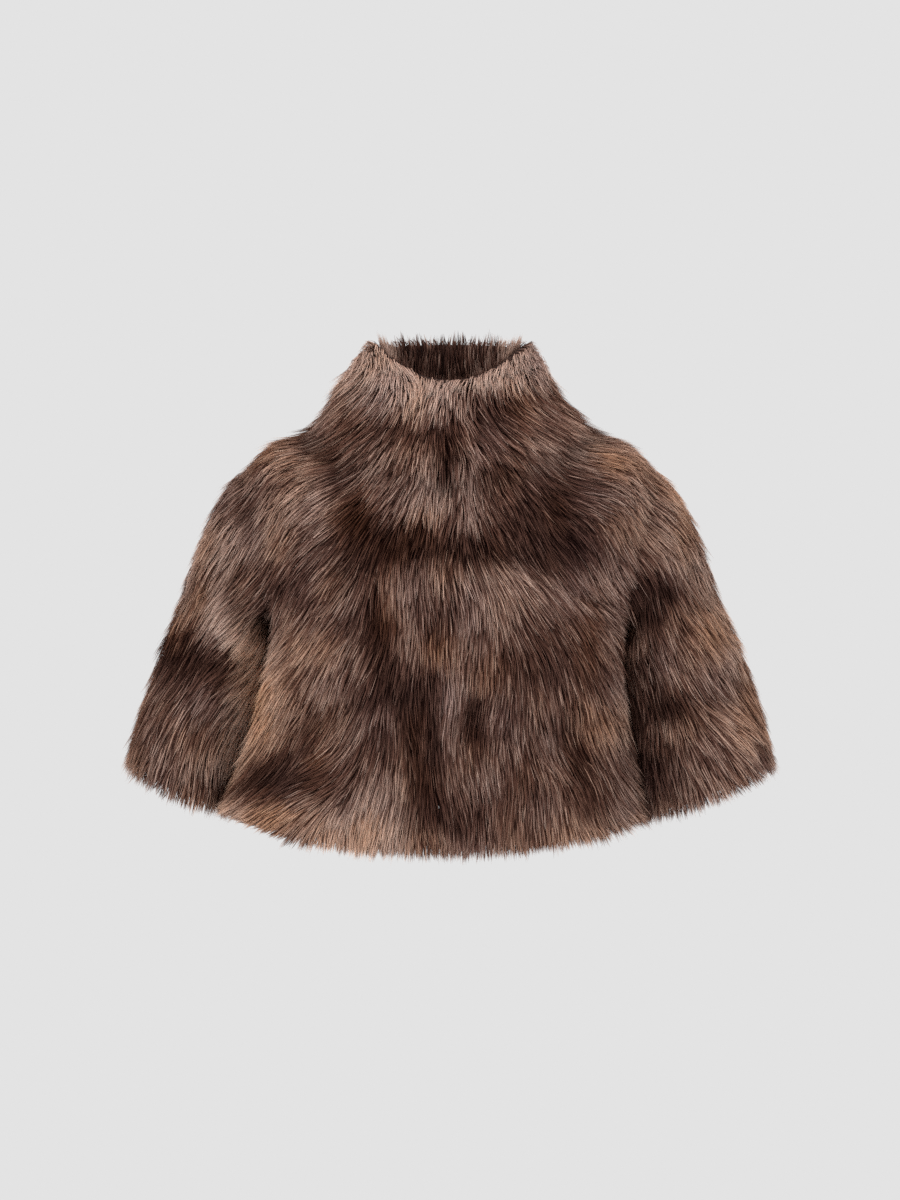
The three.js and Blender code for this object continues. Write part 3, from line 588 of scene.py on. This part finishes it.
def body_fur(angle, v):
    swell = row_swell(BODY_ROWS, v) + relief_at(body_skin(angle, v))
    top = FUR_AT_NECKLINE + (FUR + swell - FUR_AT_NECKLINE) * smooth(v / 0.75)
    beside = 1 - smooth(np.abs(np.cos(angle) + 0.05) / 0.34 - 0.45)
    free = 1 - rising(v, 3.4, 1.2) * beside
    own = pressed_fur(free, (v - UNDERARM) / 3) + swell * (0.2 + 0.8 * free)
    turn, share = near_armhole(angle, v)
    seam = by_side(angle, lambda arm: armhole_fur(arm, turn))
    return np.where(v < 1, top, between(seam, own, share))


def sleeve_fur(arm, turn, place):
    swell = row_swell(SLEEVE_ROWS, place) + relief_at(sleeve_skin(arm, turn, place))
    free = 1 - rising(-np.cos(turn), 0.1, 0.62)
    own = pressed_fur(free, (place - 1) / 2) + swell * (0.2 + 0.8 * free)
    return between(armhole_fur(arm, turn), own, smooth(place / CAP_FADES))


# ---- each piece's surface as a grid: skin, lean, depth of fur ----
FINER = 3  # the hair's grids are this much finer than the hides', which take every third line


def panel_grid(columns, full, start, end):
    """A body panel between two edges, each an angle as a function of the armhole's turn."""
    yoke, armhole, below = 10 * FINER, 14 * FINER, 20 * FINER
    share = np.linspace(0, 1, armhole + 1)
    turn = 0.6 * np.pi * share + 0.4 * np.arccos(1 - 2 * share)
    v = np.concatenate([
        np.linspace(0.012, SHOULDER, yoke + 1)[:-1],
        armhole_edge(ARMS["left"], turn)[1],
        np.linspace(UNDERARM, HEM, below + 1)[1:],
    ])
    turn = np.concatenate([np.zeros(yoke), turn, np.full(below, np.pi)])
    columns *= FINER
    share = np.linspace(0, 1, columns + 1)
    inset = SEAM_CLEARANCE / 180 * np.sign(full[1] - full[0])
    left = full[0] + (start(turn) - full[0])[:, None] * (1 - share) ** 1.9
    right = (full[1] - full[0]) * share + (end(turn) - full[1])[:, None] * share**1.9
    return np.broadcast_arrays(left + right + inset * (1 - 2 * share), v[:, None])


def front_grid(arm):
    full = 0, arm["side"] * np.pi / 2
    return panel_grid(30, full, lambda turn: 0 * turn, lambda turn: armhole_edge(arm, turn)[0])


def back_grid():
    return panel_grid(
        60,
        (np.pi / 2, 1.5 * np.pi),
        lambda turn: armhole_edge(ARMS["left"], -turn)[0],
        lambda turn: 2 * np.pi + armhole_edge(ARMS["right"], -turn)[0],
    )


def sleeve_grid():
    cap = np.linspace(0.02, 1, 10 * FINER + 1)[:-1]
    place = np.concatenate([cap, np.linspace(1, CUFF, 24 * FINER + 1)])
    return np.meshgrid(np.linspace(0, 2 * np.pi, 56 * FINER + 1), place)


def collar_grid():
    inset = SEAM_CLEARANCE / 90
    turn = np.linspace(inset, 2 * np.pi - inset, 80 * FINER + 1)
    return np.meshgrid(turn, np.linspace(0.012, RIM, 16 * FINER + 1))


def body_hide(grid):
    angle, v = grid
    return body_skin(angle, v), body_normal(angle, v), body_fur(angle, v)


def sleeve_hide(arm, grid):
    turn, place = grid
    return sleeve_skin(arm, turn, place), sleeve_normal(arm, turn, place), sleeve_fur(arm, turn, place)


def collar_lean(angle, c):
    own = collar_normal(angle, c)
    return np.where((c < 1)[..., None], mixed(neckline_normal(angle), own, smooth(c)), own)


def collar_hide(grid):
    """The collar's outside, which rolls over the rim to its inner edge."""
    angle, c = grid
    rolled = smooth((c - RIM + 0.55) / 0.55)
    skin, own = collar_skin(angle, c), collar_lean(angle, c)
    over = unit(UP + 0.15 * own)
    fur = at(COLLAR, c, "fur") * (1 - 0.4 * rolled) + relief_at(skin)
    return skin, mixed(own, over, rolled), fur


def collar_inside(grid):
    """The collar's inside, whose hair leans upward near the rim."""
    angle, c = grid
    up = UP * (0.8 * smooth((c - RIM + 0.4) / 0.4))[..., None]
    return collar_skin(angle, c), unit(up - collar_lean(angle, c)), at(COLLAR, c, "inside")


# ---- which way the fur lies, and its colour, at points of the skin ----
WIDE_SWIRL = Swirl(85, 1)
NARROW_SWIRL = Swirl(24, 2)
TONE_SWIRL = Swirl(48, 3)
SMALL_TONE_SWIRL = Swirl(17, 4)
WARM_SWIRL = Swirl(70, 5)
EDGE_SWIRL = Swirl(13, 6)


def combed_way(points, lean):
    """The unit way the hair lies along the skin, from the comb table in front and a fan behind."""
    x, y, z = drawn(points)
    fan = np.radians(52 * np.tanh(x / 130))
    sine, cosine = 0.04 * np.sin(fan), 0.04 * np.cos(fan)
    for comb_x, comb_z, angle in zip(*COMBED.values()):
        near = bell(np.hypot(x - comb_x, z - comb_z), COMB_WIDTH)
        sine = sine + near * math.sin(math.radians(angle))
        cosine = cosine + near * math.cos(math.radians(angle))
    angle = between(fan, np.arctan2(sine, cosine), smooth((20 - y) / 50))
    angle = angle + np.radians(7 * WIDE_SWIRL(points) + 5 * NARROW_SWIRL(points))
    return along_skin(vectors(np.sin(angle), 0.12 * np.sign(y), -np.cos(angle)), lean)


def tone_at(points):
    """How pale and how warm the fur is, with painted shade in its valleys."""
    x, y, z = drawn(points)
    tone = TONE + TONE_UNEVEN[0] * TONE_SWIRL(points) + TONE_UNEVEN[1] * SMALL_TONE_SWIRL(points)
    warm = WARM + WARM_UNEVEN * WARM_SWIRL(points)
    for y_side, patch_x, patch_z, across, down, patch_tone, patch_warm in zip(*PATCHES.values()):
        near = bell(np.hypot((x - patch_x) / across, (z - patch_z) / down), 1.0) * (y * y_side > -12)
        tone = tone + patch_tone * near
        warm = warm + patch_warm * near
    # painted shade in the valleys
    tone = tone - VALLEY_PAINTED_SHADE * valleys_at(points)
    return np.clip(tone, DARKEST, 1), np.clip(warm, -1, 1)


def outward(surface, lean):
    """The normals of a grid, on the side that lean points to."""
    normal = np.cross(np.gradient(surface, axis=0), np.gradient(surface, axis=1))
    return unit(normal * np.sign(dot(normal, lean))[..., None] + lean * 1e-3)


def edge_distance(skin):
    """How far each point of a grid is from the grid's last row, along its column."""
    steps = np.linalg.norm(np.diff(skin, axis=0), axis=-1)
    left = np.cumsum(steps[::-1], axis=0)[::-1]
    return np.concatenate([left, np.zeros((1, skin.shape[1]))])


class Coat:
    """What the hair on one grid needs: where it is rooted, how it leans, lies and is coloured.

    stand is 1 where the hair stands up. bridge is 1 where it goes straight on over a groove, and -1
    where it follows the surface more closely than elsewhere.
    """

    def __init__(self, skin, lean, fur, past_edge):
        self.skin, self.lean, self.fur = skin, lean, fur
        self.way = combed_way(skin, lean)
        self.face = outward(skin + lean * (fur * FACE_RELIEF)[..., None], lean)
        self.lay = np.minimum(LAY, edge_distance(skin) + past_edge)
        self.stand = np.zeros_like(fur)
        self.bridge = np.zeros_like(fur)
        self.tone, self.warm = tone_at(skin + (lean * fur[..., None] + self.way * self.lay[..., None]) * 0.6)
        facing = 0.5 + 0.5 * smooth((0.45 - lean[..., 1]) / 0.8)
        self.density = facing * np.clip(fur / 20, 0.6, 1)
        pressed = smooth((17 - fur) / 8)
        self.depth = fur * (UNDERFUR + (UNDERFUR_PRESSED - UNDERFUR) * pressed)

    def fields(self):
        numbers = self.fur, self.depth, self.lay, self.stand, self.bridge, self.tone, self.warm
        vectors_and_numbers = self.skin, self.lean, self.way, self.face, np.stack(numbers, axis=-1)
        return np.concatenate(vectors_and_numbers, axis=-1)


def from_grooves(coat):
    """The skin's points, with x and y counted from the middle between the grooves."""
    x, y, z = np.moveaxis(coat.skin, -1, 0)
    return x - GROOVE_MIDDLE[0], y - GROOVE_MIDDLE[1], z


def long_at_grooves(coat):
    """The coat with hair long enough to meet in the grooves between sleeves and body."""
    x, y, z = from_grooves(coat)
    beside = bell(np.abs(x) - GROOVES_APART, GROOVE_WIDTH) * rising(-z, 130, 60)
    edge = rising(np.abs(y), 22, 40) * beside * np.where(y > 0, LONGER_BEHIND, 1)
    longer = np.maximum(LEAST_FUR + (FUR_OVER_GROOVE - LEAST_FUR) * edge - coat.fur, 0)
    coat.fur = coat.fur + longer
    # painted light against the shade in the grooves
    coat.tone = np.clip(coat.tone + GROOVE_PAINTED_LIGHT * longer, -1, 1)
    coat.density = coat.density + GROOVE_DENSITY * longer
    return coat


def over_grooves(coat):
    """The body's coat with hair that lies outward over the grooves, on to the sleeves."""
    x, y, z = from_grooves(coat)
    edge = bell(np.abs(x) - BRIDGE_APART, BRIDGE_WIDTH) * rising(-z, 145, 50)
    coat.bridge = edge * rising(np.abs(y), 25, 30)
    aside = along_skin(vectors(np.sign(x), 0, 0), coat.lean)
    coat.way = unit(coat.way + aside * (BRIDGE_TURN * coat.bridge)[..., None])
    coat.lay = coat.lay + BRIDGE_LAY * coat.bridge * smooth(edge_distance(coat.skin) / 50)
    return long_at_grooves(coat)


def past_hem(grid):
    """How far the hair reaches past the hem: less far at the right front corner."""
    x, y, _ = np.moveaxis(body_skin(*grid), -1, 0)
    return PAST_HEM - CORNER_TRIM * rising(-x, 150, 45) * smooth(-y / 40)


def body_coat(grid):
    return over_grooves(Coat(*body_hide(grid), past_hem(grid)))


def collar_coats(grid):
    """The collar's fur outside, which flows outward from the rim, and inside, darkened with painted shade.
    """
    angle, c = grid
    outside = Coat(*collar_hide(grid), 0)
    rim = rising(c, 1.55, 0.45)
    edge = rising(c, 1.8, 0.2)
    outside.way = unit(outside.way + collar_lean(angle, c) * 1.2 * edge[..., None])
    outside.way = along_skin(outside.way, outside.lean)
    outside.stand = (0.12 + 0.4 * smooth(0.8 - 1.4 * np.cos(angle))) * edge
    outside.bridge = -rim
    outside.tone = np.clip(outside.tone + RIM_TONE * rim, -1, 1)
    outside.lay = between(LAY, LAY_AT_RIM, rim)
    outside.density = outside.density * (1 + 1.2 * rim)
    inside = Coat(*collar_inside(grid), PAST_RIM)
    inside.way = along_skin(UP, inside.lean)
    past = PAST_RIM * (0.4 + 0.6 * smooth(0.7 - 1.1 * np.cos(angle)))
    inside.lay = np.minimum(LAY_INSIDE, edge_distance(inside.skin) + past)
    x = inside.skin[..., 0]
    at_side = rising(np.abs(x), 52, 18) * rising(c, 1.2, 0.5)
    # painted shade inside the collar, lifted by painted light on the wearer's left and towards the rim at
    # both sides
    painted_light = 0.4 * smooth(x / 50) + 1.5 * at_side
    inside.tone = np.clip(INSIDE_PAINTED_SHADE + 0.15 * SMALL_TONE_SWIRL(inside.skin) + painted_light, -1, 1)
    inside.warm = np.zeros_like(c)
    inside.density = 1 + rising(c, 1.5, 0.5)
    return outside, inside


# ---- locks of hair ----
def sampled(coat, count, rng):
    """The coat's fields at count points, evenly spread by area and density."""
    fields = coat.fields()
    corners = fields[:-1, :-1], fields[:-1, 1:], fields[1:, :-1], fields[1:, 1:]
    a, b, c, d = (corner[..., :3] for corner in corners)
    area = np.linalg.norm(np.cross(d - a, c - b), axis=-1) / 2
    density = (coat.density[:-1, :-1] + coat.density[1:, 1:]) / 2
    total = np.cumsum((area * density).ravel())
    picks = (np.arange(count) + rng.uniform(0, 1, count)) / count * total[-1]
    cell = np.minimum(np.searchsorted(total, picks), total.size - 1)
    s, t = rng.uniform(0, 1, (2, count, 1))
    a, b, c, d = (corner.reshape(-1, fields.shape[-1])[cell] for corner in corners)
    return between(between(a, b, s), between(c, d, s), t)


def nearest_of(places, numbers, points):
    """For each point, the number of the place nearest to it."""
    tree = KDTree(len(places))
    for place, number in zip(places, numbers):
        tree.insert(place, number)
    tree.balance()
    return np.array([tree.find(point)[1] for point in points])


def nearest(coat, points):
    """The coat's fields where its fur is nearest to each point."""
    fields = coat.fields()
    fields = fields.reshape(-1, fields.shape[-1])
    within = coat.skin + coat.lean * (coat.fur * 0.7)[..., None]
    return fields[nearest_of(within.reshape(-1, 3), range(len(fields)), points)]


def split(fields):
    """A coat's fields apart: four vectors, of which three are made unit again, and seven numbers."""
    skin, lean, way, face = fields[:, 0:3], *(unit(fields[:, i : i + 3]) for i in (3, 6, 9))
    return (skin, lean, way, face, *fields[:, 12:].T)


def lock_lines(coat, count, rng):
    """Root, bend and tip of each lock's middle, its lean, the fur's normal, and tone and warmth."""
    skin, lean, way, face, fur, depth, lay, stand, bridge, tone, warm = split(sampled(coat, count, rng))
    level = rng.uniform(0, 1, count) ** 2  # more of the tips lie low
    turned = np.radians(rng.normal(0, STRAY, count))[:, None]
    way = unit(way * np.cos(turned) + np.cross(lean, way) * np.sin(turned))
    lay = lay * rng.uniform(0.78, 1.12, count) + 2.5 * EDGE_SWIRL(skin)
    low = depth * ROOT_HEIGHT
    high = fur * (LOWEST_TIP + (HIGHEST_TIP - LOWEST_TIP) * level)
    standing = unit(lean * 0.7 + UP) * (lay * 0.5)[:, None]

    def onward(start, way, run, rise):
        laid = way * (lay * run)[:, None] + lean * ((high - low) * rise)[:, None]
        return start + between(laid, standing, stand[:, None])

    root = skin + lean * low[:, None]
    bend = onward(root, way, RUN[0], RISE[0])
    _, _, later_way, *_ = split(nearest(coat, bend))
    tip = onward(bend, unit(way + later_way * (2 - 2 * bridge)[:, None]), RUN[1], RISE[1])
    # The tip comes down by 11 mm at most, or up by 6, towards the height of the fur there.
    near_skin, near_lean, _, _, near_fur, *_ = split(nearest(coat, tip))
    height = dot(tip - near_skin, near_lean)
    wanted = high * np.clip(near_fur / np.maximum(fur, 1), 0.55, 1.3)
    mend = np.clip(wanted - height, -11 * (1 - bridge), 6) * (1 - stand)
    tip = tip + near_lean * mend[:, None]
    bend = bend + near_lean * (0.25 * mend)[:, None]
    bend, tip = tufted(root, bend, tip, rng)
    # Hairs whose tips lie low are darker: partly their own darker colour, partly painted shade deep in the
    # fur.
    tone = tone + 1.0 * (level - 0.36) + rng.normal(0, 0.10, count)
    return root, bend, tip, lean, face, np.clip(tone, -1, 1), warm + rng.normal(0, 0.10, count)


def tufted(root, bend, tip, rng):
    """Draws the tips of neighbouring locks together into tufts."""
    leaders = rng.choice(len(root), len(root) // LOCKS_IN_TUFT, replace=False)
    leader = nearest_of(root[leaders], leaders, root)
    pull = TUFT_PULL * rng.uniform(0.5, 1.5, len(root))[leader][:, None]
    apart = root - root[leader]
    bend = bend + (bend[leader] + apart * 0.8 - bend) * pull * 0.4
    return bend, tip + (tip[leader] + apart * 0.3 - tip) * pull


def hairs(coat, count, rng):
    """Flat hairs, some to a lock, as points (count, 5, 3), and each hair's normal, tone and warmth."""
    locks = count // HAIRS_IN_LOCK
    lines = lock_lines(coat, locks, rng)
    root, bend, tip, lean, face, tone, warm = (np.repeat(part, HAIRS_IN_LOCK, axis=0) for part in lines)
    count = len(tone)
    way = unit(tip - root)
    side = unit(np.cross(way, lean))
    # Each hair keeps beside its lock's middle, and its tip strays.
    aside, back, lift = (rng.uniform(-1, 1, (count, 1)) for _ in range(3))
    root = root + side * aside * LOCK_SPREAD + way * back * 2.5
    bend = bend + side * aside * LOCK_SPREAD * 0.62 + lean * lift * 0.7 + way * back * 2
    tip = tip + side * (0.25 * aside + rng.normal(0, 0.4, (count, 1))) + lean * lift * 0.9
    tip = tip + way * rng.uniform(-7, 2, (count, 1))
    roll = rng.uniform(-0.8, 0.8, (count, 1))
    flat = side * np.cos(roll) + np.cross(side, way) * np.sin(roll)
    width = HAIR_WIDTH * rng.uniform(0.7, 1.25, (count, 1)) / 2
    half = flat * width
    points = [root - half, root + half, bend - half * 0.95, bend + half * 0.95, tip]
    normal = unit(face + 0.35 * np.cross(flat, way) + rng.normal(0, 0.08, (count, 3)))
    tone = tone + rng.normal(-0.05, 0.12, count) + PALE_HAIR * (rng.uniform(0, 1, count) < PALE_HAIRS)
    return np.stack(points, axis=1), normal, np.clip(tone, -1, 1), np.clip(warm, -1, 1)


# ---- meshes ----
def in_scene(name, data):
    made = bpy.data.objects.new(name, data)
    scene.collection.objects.link(made)
    return made


def mesh_object(name, points, corners, sizes):
    """A mesh from points in millimetres, its faces' corners in a row, and each face's corner count."""
    mesh = bpy.data.meshes.new(name)
    mesh.vertices.add(len(points))
    mesh.vertices.foreach_set("co", (points * MM).astype(np.float32).ravel())
    mesh.loops.add(len(corners))
    mesh.loops.foreach_set("vertex_index", corners.astype(np.int32))
    mesh.polygons.add(len(sizes))
    mesh.polygons.foreach_set("loop_start", (np.cumsum(sizes) - sizes).astype(np.int32))
    mesh.polygons.foreach_set("use_smooth", np.ones(len(sizes), bool))
    mesh.update(calc_edges=True)
    mesh.validate()
    return in_scene(name, mesh)


def number_each(mesh, name, values):
    mesh.attributes.new(name, "FLOAT", "POINT").data.foreach_set("value", values.astype(np.float32))


def fur_object(name, coat, count, rng):
    """All hairs of one coat as one mesh, shaded with the fur. Each has its own place in the UV map."""
    points, normal, tone, warm = hairs(coat, count, rng)
    count = len(points)
    first = np.arange(count)[:, None] * 5
    corners = (first + np.array([0, 1, 3, 2, 2, 3, 4])).ravel()
    fur = mesh_object(name, points.reshape(-1, 3), corners, np.tile([4, 3], count))
    fur.data.normals_split_custom_set_from_vertices(np.repeat(normal, 5, axis=0))
    number_each(fur.data, "along", np.tile([0, 0, 0.5, 0.5, 1], count))
    for name, values in (("tone", tone), ("warm", warm), ("chance", rng.uniform(0, 1, count))):
        number_each(fur.data, name, np.repeat(values, 5))
    across = math.ceil(math.sqrt(count))
    cells = np.stack([np.arange(count) % across, np.arange(count) // across], axis=-1)
    low, middle, tip = [(0.2, 0.1), (0.8, 0.1)], [(0.8, 0.5), (0.2, 0.5)], [(0.5, 0.9)]
    uv = (cells[:, None] + np.array(low + middle + middle[::-1] + tip)) / across
    layer = fur.data.uv_layers.new(name="OFBake")
    layer.data.foreach_set("uv", uv.astype(np.float32).ravel())
    return fur


def hide_object(name, skin, lean, inside, outside, wraps):
    """The hide as a closed wall between the two depths. Where it has depth inside, it is furred there."""
    if wraps:
        skin, lean, inside, outside = (grid[:, :-1] for grid in (skin, lean, inside, outside))
    outer = skin + lean * outside[..., None]
    inner = skin - lean * inside[..., None]
    points = np.concatenate([outer.reshape(-1, 3), inner.reshape(-1, 3)])
    far = inside.size
    number = np.arange(far).reshape(inside.shape)
    if wraps:
        number = np.concatenate([number, number[:, :1]], axis=1)
    a, b, c, d = number[:-1, :-1], number[1:, :-1], number[1:, 1:], number[:-1, 1:]
    quads = [np.stack([a, b, c, d], -1).reshape(-1, 4), np.stack([a, d, c, b], -1).reshape(-1, 4) + far]
    edges = [number[0, ::-1], number[-1]]
    if not wraps:
        edges += [number[:, 0], number[::-1, -1]]
    for edge in edges:
        quads.append(np.stack([edge[:-1], edge[:-1] + far, edge[1:] + far, edge[1:]], -1))
    quads = np.concatenate(quads)
    if volume(points, quads) < 0:
        quads = quads[:, ::-1]
    hide = mesh_object(name, points, quads.ravel(), np.full(len(quads), 4))
    number_each(hide.data, "fur_side", np.concatenate([np.ones(far), np.ravel(inside > 0)]))
    return hide


def volume(points, quads):
    a, b, c, d = (points[quads[:, i]] for i in range(4))
    return (dot(a, np.cross(b, c)) + dot(a, np.cross(c, d))).sum()


# ---- materials ----
def colour(code):
    """Linear colour from a hexadecimal sRGB code."""
    parts = [int(code[i : i + 2], 16) / 255 for i in (0, 2, 4)]
    return [p / 12.92 if p <= 0.04045 else ((p + 0.055) / 1.055) ** 2.4 for p in parts] + [1.0]


class Nodes:
    """Adds nodes to a material or world, and links them."""

    def __init__(self, owner):
        owner.use_nodes = True
        self.tree = owner.node_tree
        self.tree.nodes.clear()

    def add(self, kind, inputs=None, **settings):
        """A node with its settings, and its inputs each linked to a socket or set to a value."""
        node = self.tree.nodes.new("ShaderNode" + kind)
        for name, value in settings.items():
            setattr(node, name, value)
        for name, value in (inputs or {}).items():
            if isinstance(value, bpy.types.NodeSocket):
                self.tree.links.new(value, node.inputs[name])
            else:
                node.inputs[name].default_value = value
        return node

    def number(self, name):
        return self.add("Attribute", attribute_name=name).outputs["Fac"]

    def ramp(self, factor, *codes, ends=(0, 1)):
        """Colours, the first and the last at the two ends and the others evenly between them."""
        node = self.add("ValToRGB", {"Fac": factor})
        elements = node.color_ramp.elements
        for i, (place, code) in enumerate(zip(np.linspace(*ends, len(codes)), codes)):
            element = elements[i] if i < 2 else elements.new(place)
            element.position = place
            element.color = colour(code)
        return node.outputs["Color"]

    def math(self, operation, *numbers, clamp=False):
        node = self.add("Math", dict(enumerate(numbers)), operation=operation, use_clamp=clamp)
        return node.outputs["Value"]

    def mix(self, factor, a, b, blend="MIX"):
        """A colour between a and b: a Mix node's colours are its inputs 6 and 7 and its output 2."""
        return self.add("Mix", {0: factor, 6: a, 7: b}, data_type="RGBA", blend_type=blend).outputs[2]

    def blend(self, factor, a, b):
        """The shader between two nodes' shaders."""
        return self.add("MixShader", {"Fac": factor, 1: a.outputs[0], 2: b.outputs[0]})

    def noise(self, scale, detail=3.0, stretch=(1, 1, 1)):
        place = self.add("TexCoord").outputs["Object"]
        mapped = self.add("Mapping", {"Vector": place, "Scale": stretch}).outputs["Vector"]
        return self.add("TexNoise", {"Vector": mapped, "Scale": scale, "Detail": detail}).outputs["Fac"]

    def surface(self, base, roughness, specular, height, strength, distance):
        """The shader of a surface with bumps."""
        bump = self.add("Bump", {"Height": height, "Strength": strength, "Distance": distance})
        looks = {"Base Color": base, "Roughness": roughness, "Specular IOR Level": specular}
        return self.add("BsdfPrincipled", {**looks, "Normal": bump.outputs["Normal"]})

    def finish(self, shader, output="OutputMaterial"):
        self.add(output, {"Surface": shader.outputs[0]})


def fur_material():
    """Hair that grows paler towards its tip, greyish or tan with its warmth."""
    material = bpy.data.materials.new("fur_hair")
    nodes = Nodes(material)
    tone = nodes.math("MULTIPLY_ADD", nodes.number("tone"), 0.5, 0.5)
    warm = nodes.math("MULTIPLY_ADD", nodes.number("warm"), 0.5, 0.5)
    along = nodes.number("along")
    root = nodes.ramp(tone, "0a0505", "1b0d0a", "4a2c22")
    middle = nodes.ramp(tone, "180c0b", "573b33", "b49282")
    tip = nodes.ramp(tone, "2a1815", "886457", "e8cdbd")
    base = nodes.mix(nodes.math("MULTIPLY", along, 2.0, clamp=True), root, middle)
    further = nodes.math("SUBTRACT", nodes.math("MULTIPLY", along, 2.0), 1.0, clamp=True)
    base = nodes.mix(further, base, tip)
    base = nodes.mix(0.85, base, nodes.ramp(warm, "dfe0f0", "ffffff", "ffe4c2"), "MULTIPLY")
    fibre = nodes.ramp(nodes.noise(420.0, 4.0, (1, 1, 0.2)), "c4c4c4", "ffffff", ends=(0.25, 0.75))
    base = nodes.mix(0.6, base, fibre, "MULTIPLY")
    chance = nodes.ramp(nodes.number("chance"), "6e6e6e", "9a9a9a")
    roughness = nodes.add("RGBToBW", {"Color": chance}).outputs["Val"]
    hair = nodes.surface(base, roughness, 0.0, nodes.noise(900.0), 0.2, 0.0003)
    nodes.finish(nodes.blend(0.18, hair, nodes.add("BsdfTranslucent", {"Color": base})))
    return material


def hide_material():
    """Dark streaky underfur outside, brown suede on the skin side."""
    material = bpy.data.materials.new("fur_hide")
    nodes = Nodes(material)
    streaks = nodes.noise(260.0, 5.0, (1, 1, 0.25))
    underfur = nodes.ramp(streaks, "150c0a", "3a2620", ends=(0.3, 0.7))
    suede = nodes.ramp(nodes.noise(90.0, 6.0), "5a4334", "7b604c", ends=(0.3, 0.7))
    base = nodes.mix(nodes.number("fur_side"), suede, underfur)
    nodes.finish(nodes.surface(base, 0.9, 0.15, streaks, 0.6, 0.002))
    return material


# ---- the garment ----
# Each kind of piece: its slot, how many hairs it has outside, and the cut of its hide, measured midway
# in it: greatest width and length in metres, and its area as a share of their product.
KINDS = {
    "front": ("fur_front", 63000, 0.30, 0.45, 0.78),
    "back": ("fur_back", 48000, 0.54, 0.46, 0.79),
    "sleeve": ("fur_sleeve", 50000, 0.50, 0.34, 0.71),
    "collar": ("fur_collar", 26000, 0.64, 0.09, 0.93),
}
HAIRS_INSIDE = 10000  # in the collar


def dress(node, coats, wraps, inside=None):
    """Replaces a solid with its hide, and puts the fur of each coat on it."""
    slot, hairs_outside, width, length, share = KINDS[node.split("_")[0]]
    main = coats[0]
    inner = np.zeros_like(main.fur) if inside is None else inside
    grids = (grid[::FINER, ::FINER] for grid in (main.skin, main.lean, inner, main.depth))
    hide = hide_object("hide_" + node, *grids, wraps)
    hide.data.materials.append(HIDE)
    pieces = []
    for name, coat, count in zip((node, node + "_inside"), coats, (hairs_outside, HAIRS_INSIDE)):
        rng = np.random.default_rng([SEED, *name.encode()])
        fur = fur_object("fur_" + name, coat, count, rng)
        fur.data.materials.append(HAIR)
        pieces.append(fur)
    for piece in [hide, *pieces]:
        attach(piece, "root")
    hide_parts(node)


HAIR = fur_material()
HIDE = hide_material()

for side, arm in ARMS.items():
    dress("front_" + side, [body_coat(front_grid(arm))], False)
dress("back", [body_coat(back_grid())], False)
for side, arm in ARMS.items():
    dress("sleeve_" + side, [long_at_grooves(Coat(*sleeve_hide(arm, sleeve_grid()), PAST_CUFF))], True)
collar = collar_grid()
dress("collar", collar_coats(collar), False, at(COLLAR, collar[1], "inside") * UNDERFUR_INSIDE)

# ---- camera, light and studio: metres ----
VIEW_HEIGHT = 1.26  # height of the picture at the garment
DISTANCE = SEEN_FROM * MM
AIM = Vector((0, 0, SEEN_HEIGHT * MM))
SENSOR = 36.0
LIGHTS = (  # name, place, size and power in watts
    ("key", (-1.6, -2.4, 1.7), 1.2, 70),
    ("fill", (2.2, -2.2, 0.5), 1.8, 30),
    ("top", (0.2, 0.4, 2.4), 1.6, 40),
)
FLOOR = -1.15
FLOOR_RADIUS = 9.0
FLOOR_SIDES = 64
BACKDROP = (0.768, 0.768, 0.768, 1)  # the plain studio's linear colour


def aimed(name, data, place):
    """A new object at a place, turned to the garment."""
    made = in_scene(name, data)
    made.location = place
    made.rotation_euler = (AIM - made.location).to_track_quat("-Z", "Y").to_euler()
    return made


camera = bpy.data.cameras.new("camera")
camera.sensor_fit = "VERTICAL"
camera.sensor_height = SENSOR
camera.lens = SENSOR * DISTANCE / VIEW_HEIGHT
back_and_up = Vector((0, -math.cos(SEEN_DOWN), math.sin(SEEN_DOWN)))
scene.camera = aimed("camera", camera, AIM + back_and_up * DISTANCE)
scene.cycles.use_denoising = False  # it would smear the hairs
scene.view_settings.view_transform = "Standard"

for name, place, size, power in LIGHTS:
    light = bpy.data.lights.new(name, "AREA")
    light.shape = "DISK"
    light.size = size
    light.energy = power
    aimed(name, light, place)


def plainly_seen(nodes, shader, plain):
    """The shader, which the camera sees as the plain backdrop."""
    seen = nodes.add("LightPath").outputs["Is Camera Ray"]
    return nodes.blend(seen, shader, nodes.add(plain, {"Color": BACKDROP}))


def studio():
    """A pale floor, clear from below, and a pale surround, which the camera sees as one even grey."""
    floor = bpy.data.meshes.new("floor")
    turn = np.linspace(0, 2 * np.pi, FLOOR_SIDES, endpoint=False)
    rim = [(FLOOR_RADIUS * math.cos(t), FLOOR_RADIUS * math.sin(t), FLOOR) for t in turn]
    floor.from_pydata(rim, [], [range(FLOOR_SIDES)])
    ground = in_scene("floor", floor)
    material = bpy.data.materials.new("floor")
    nodes = Nodes(material)
    pale = nodes.add("BsdfDiffuse", {"Color": (0.8, 0.8, 0.8, 1)})
    from_below = nodes.add("NewGeometry").outputs["Backfacing"]
    clear = nodes.add("BsdfTransparent")
    nodes.finish(nodes.blend(from_below, plainly_seen(nodes, pale, "Emission"), clear))
    floor.materials.append(material)
    world = bpy.data.worlds.new("studio")
    scene.world = world
    nodes = Nodes(world)
    light = nodes.add("Background", {"Color": (1, 0.99, 0.98, 1), "Strength": 0.9})
    nodes.finish(plainly_seen(nodes, light, "Background"), "OutputWorld")


studio()
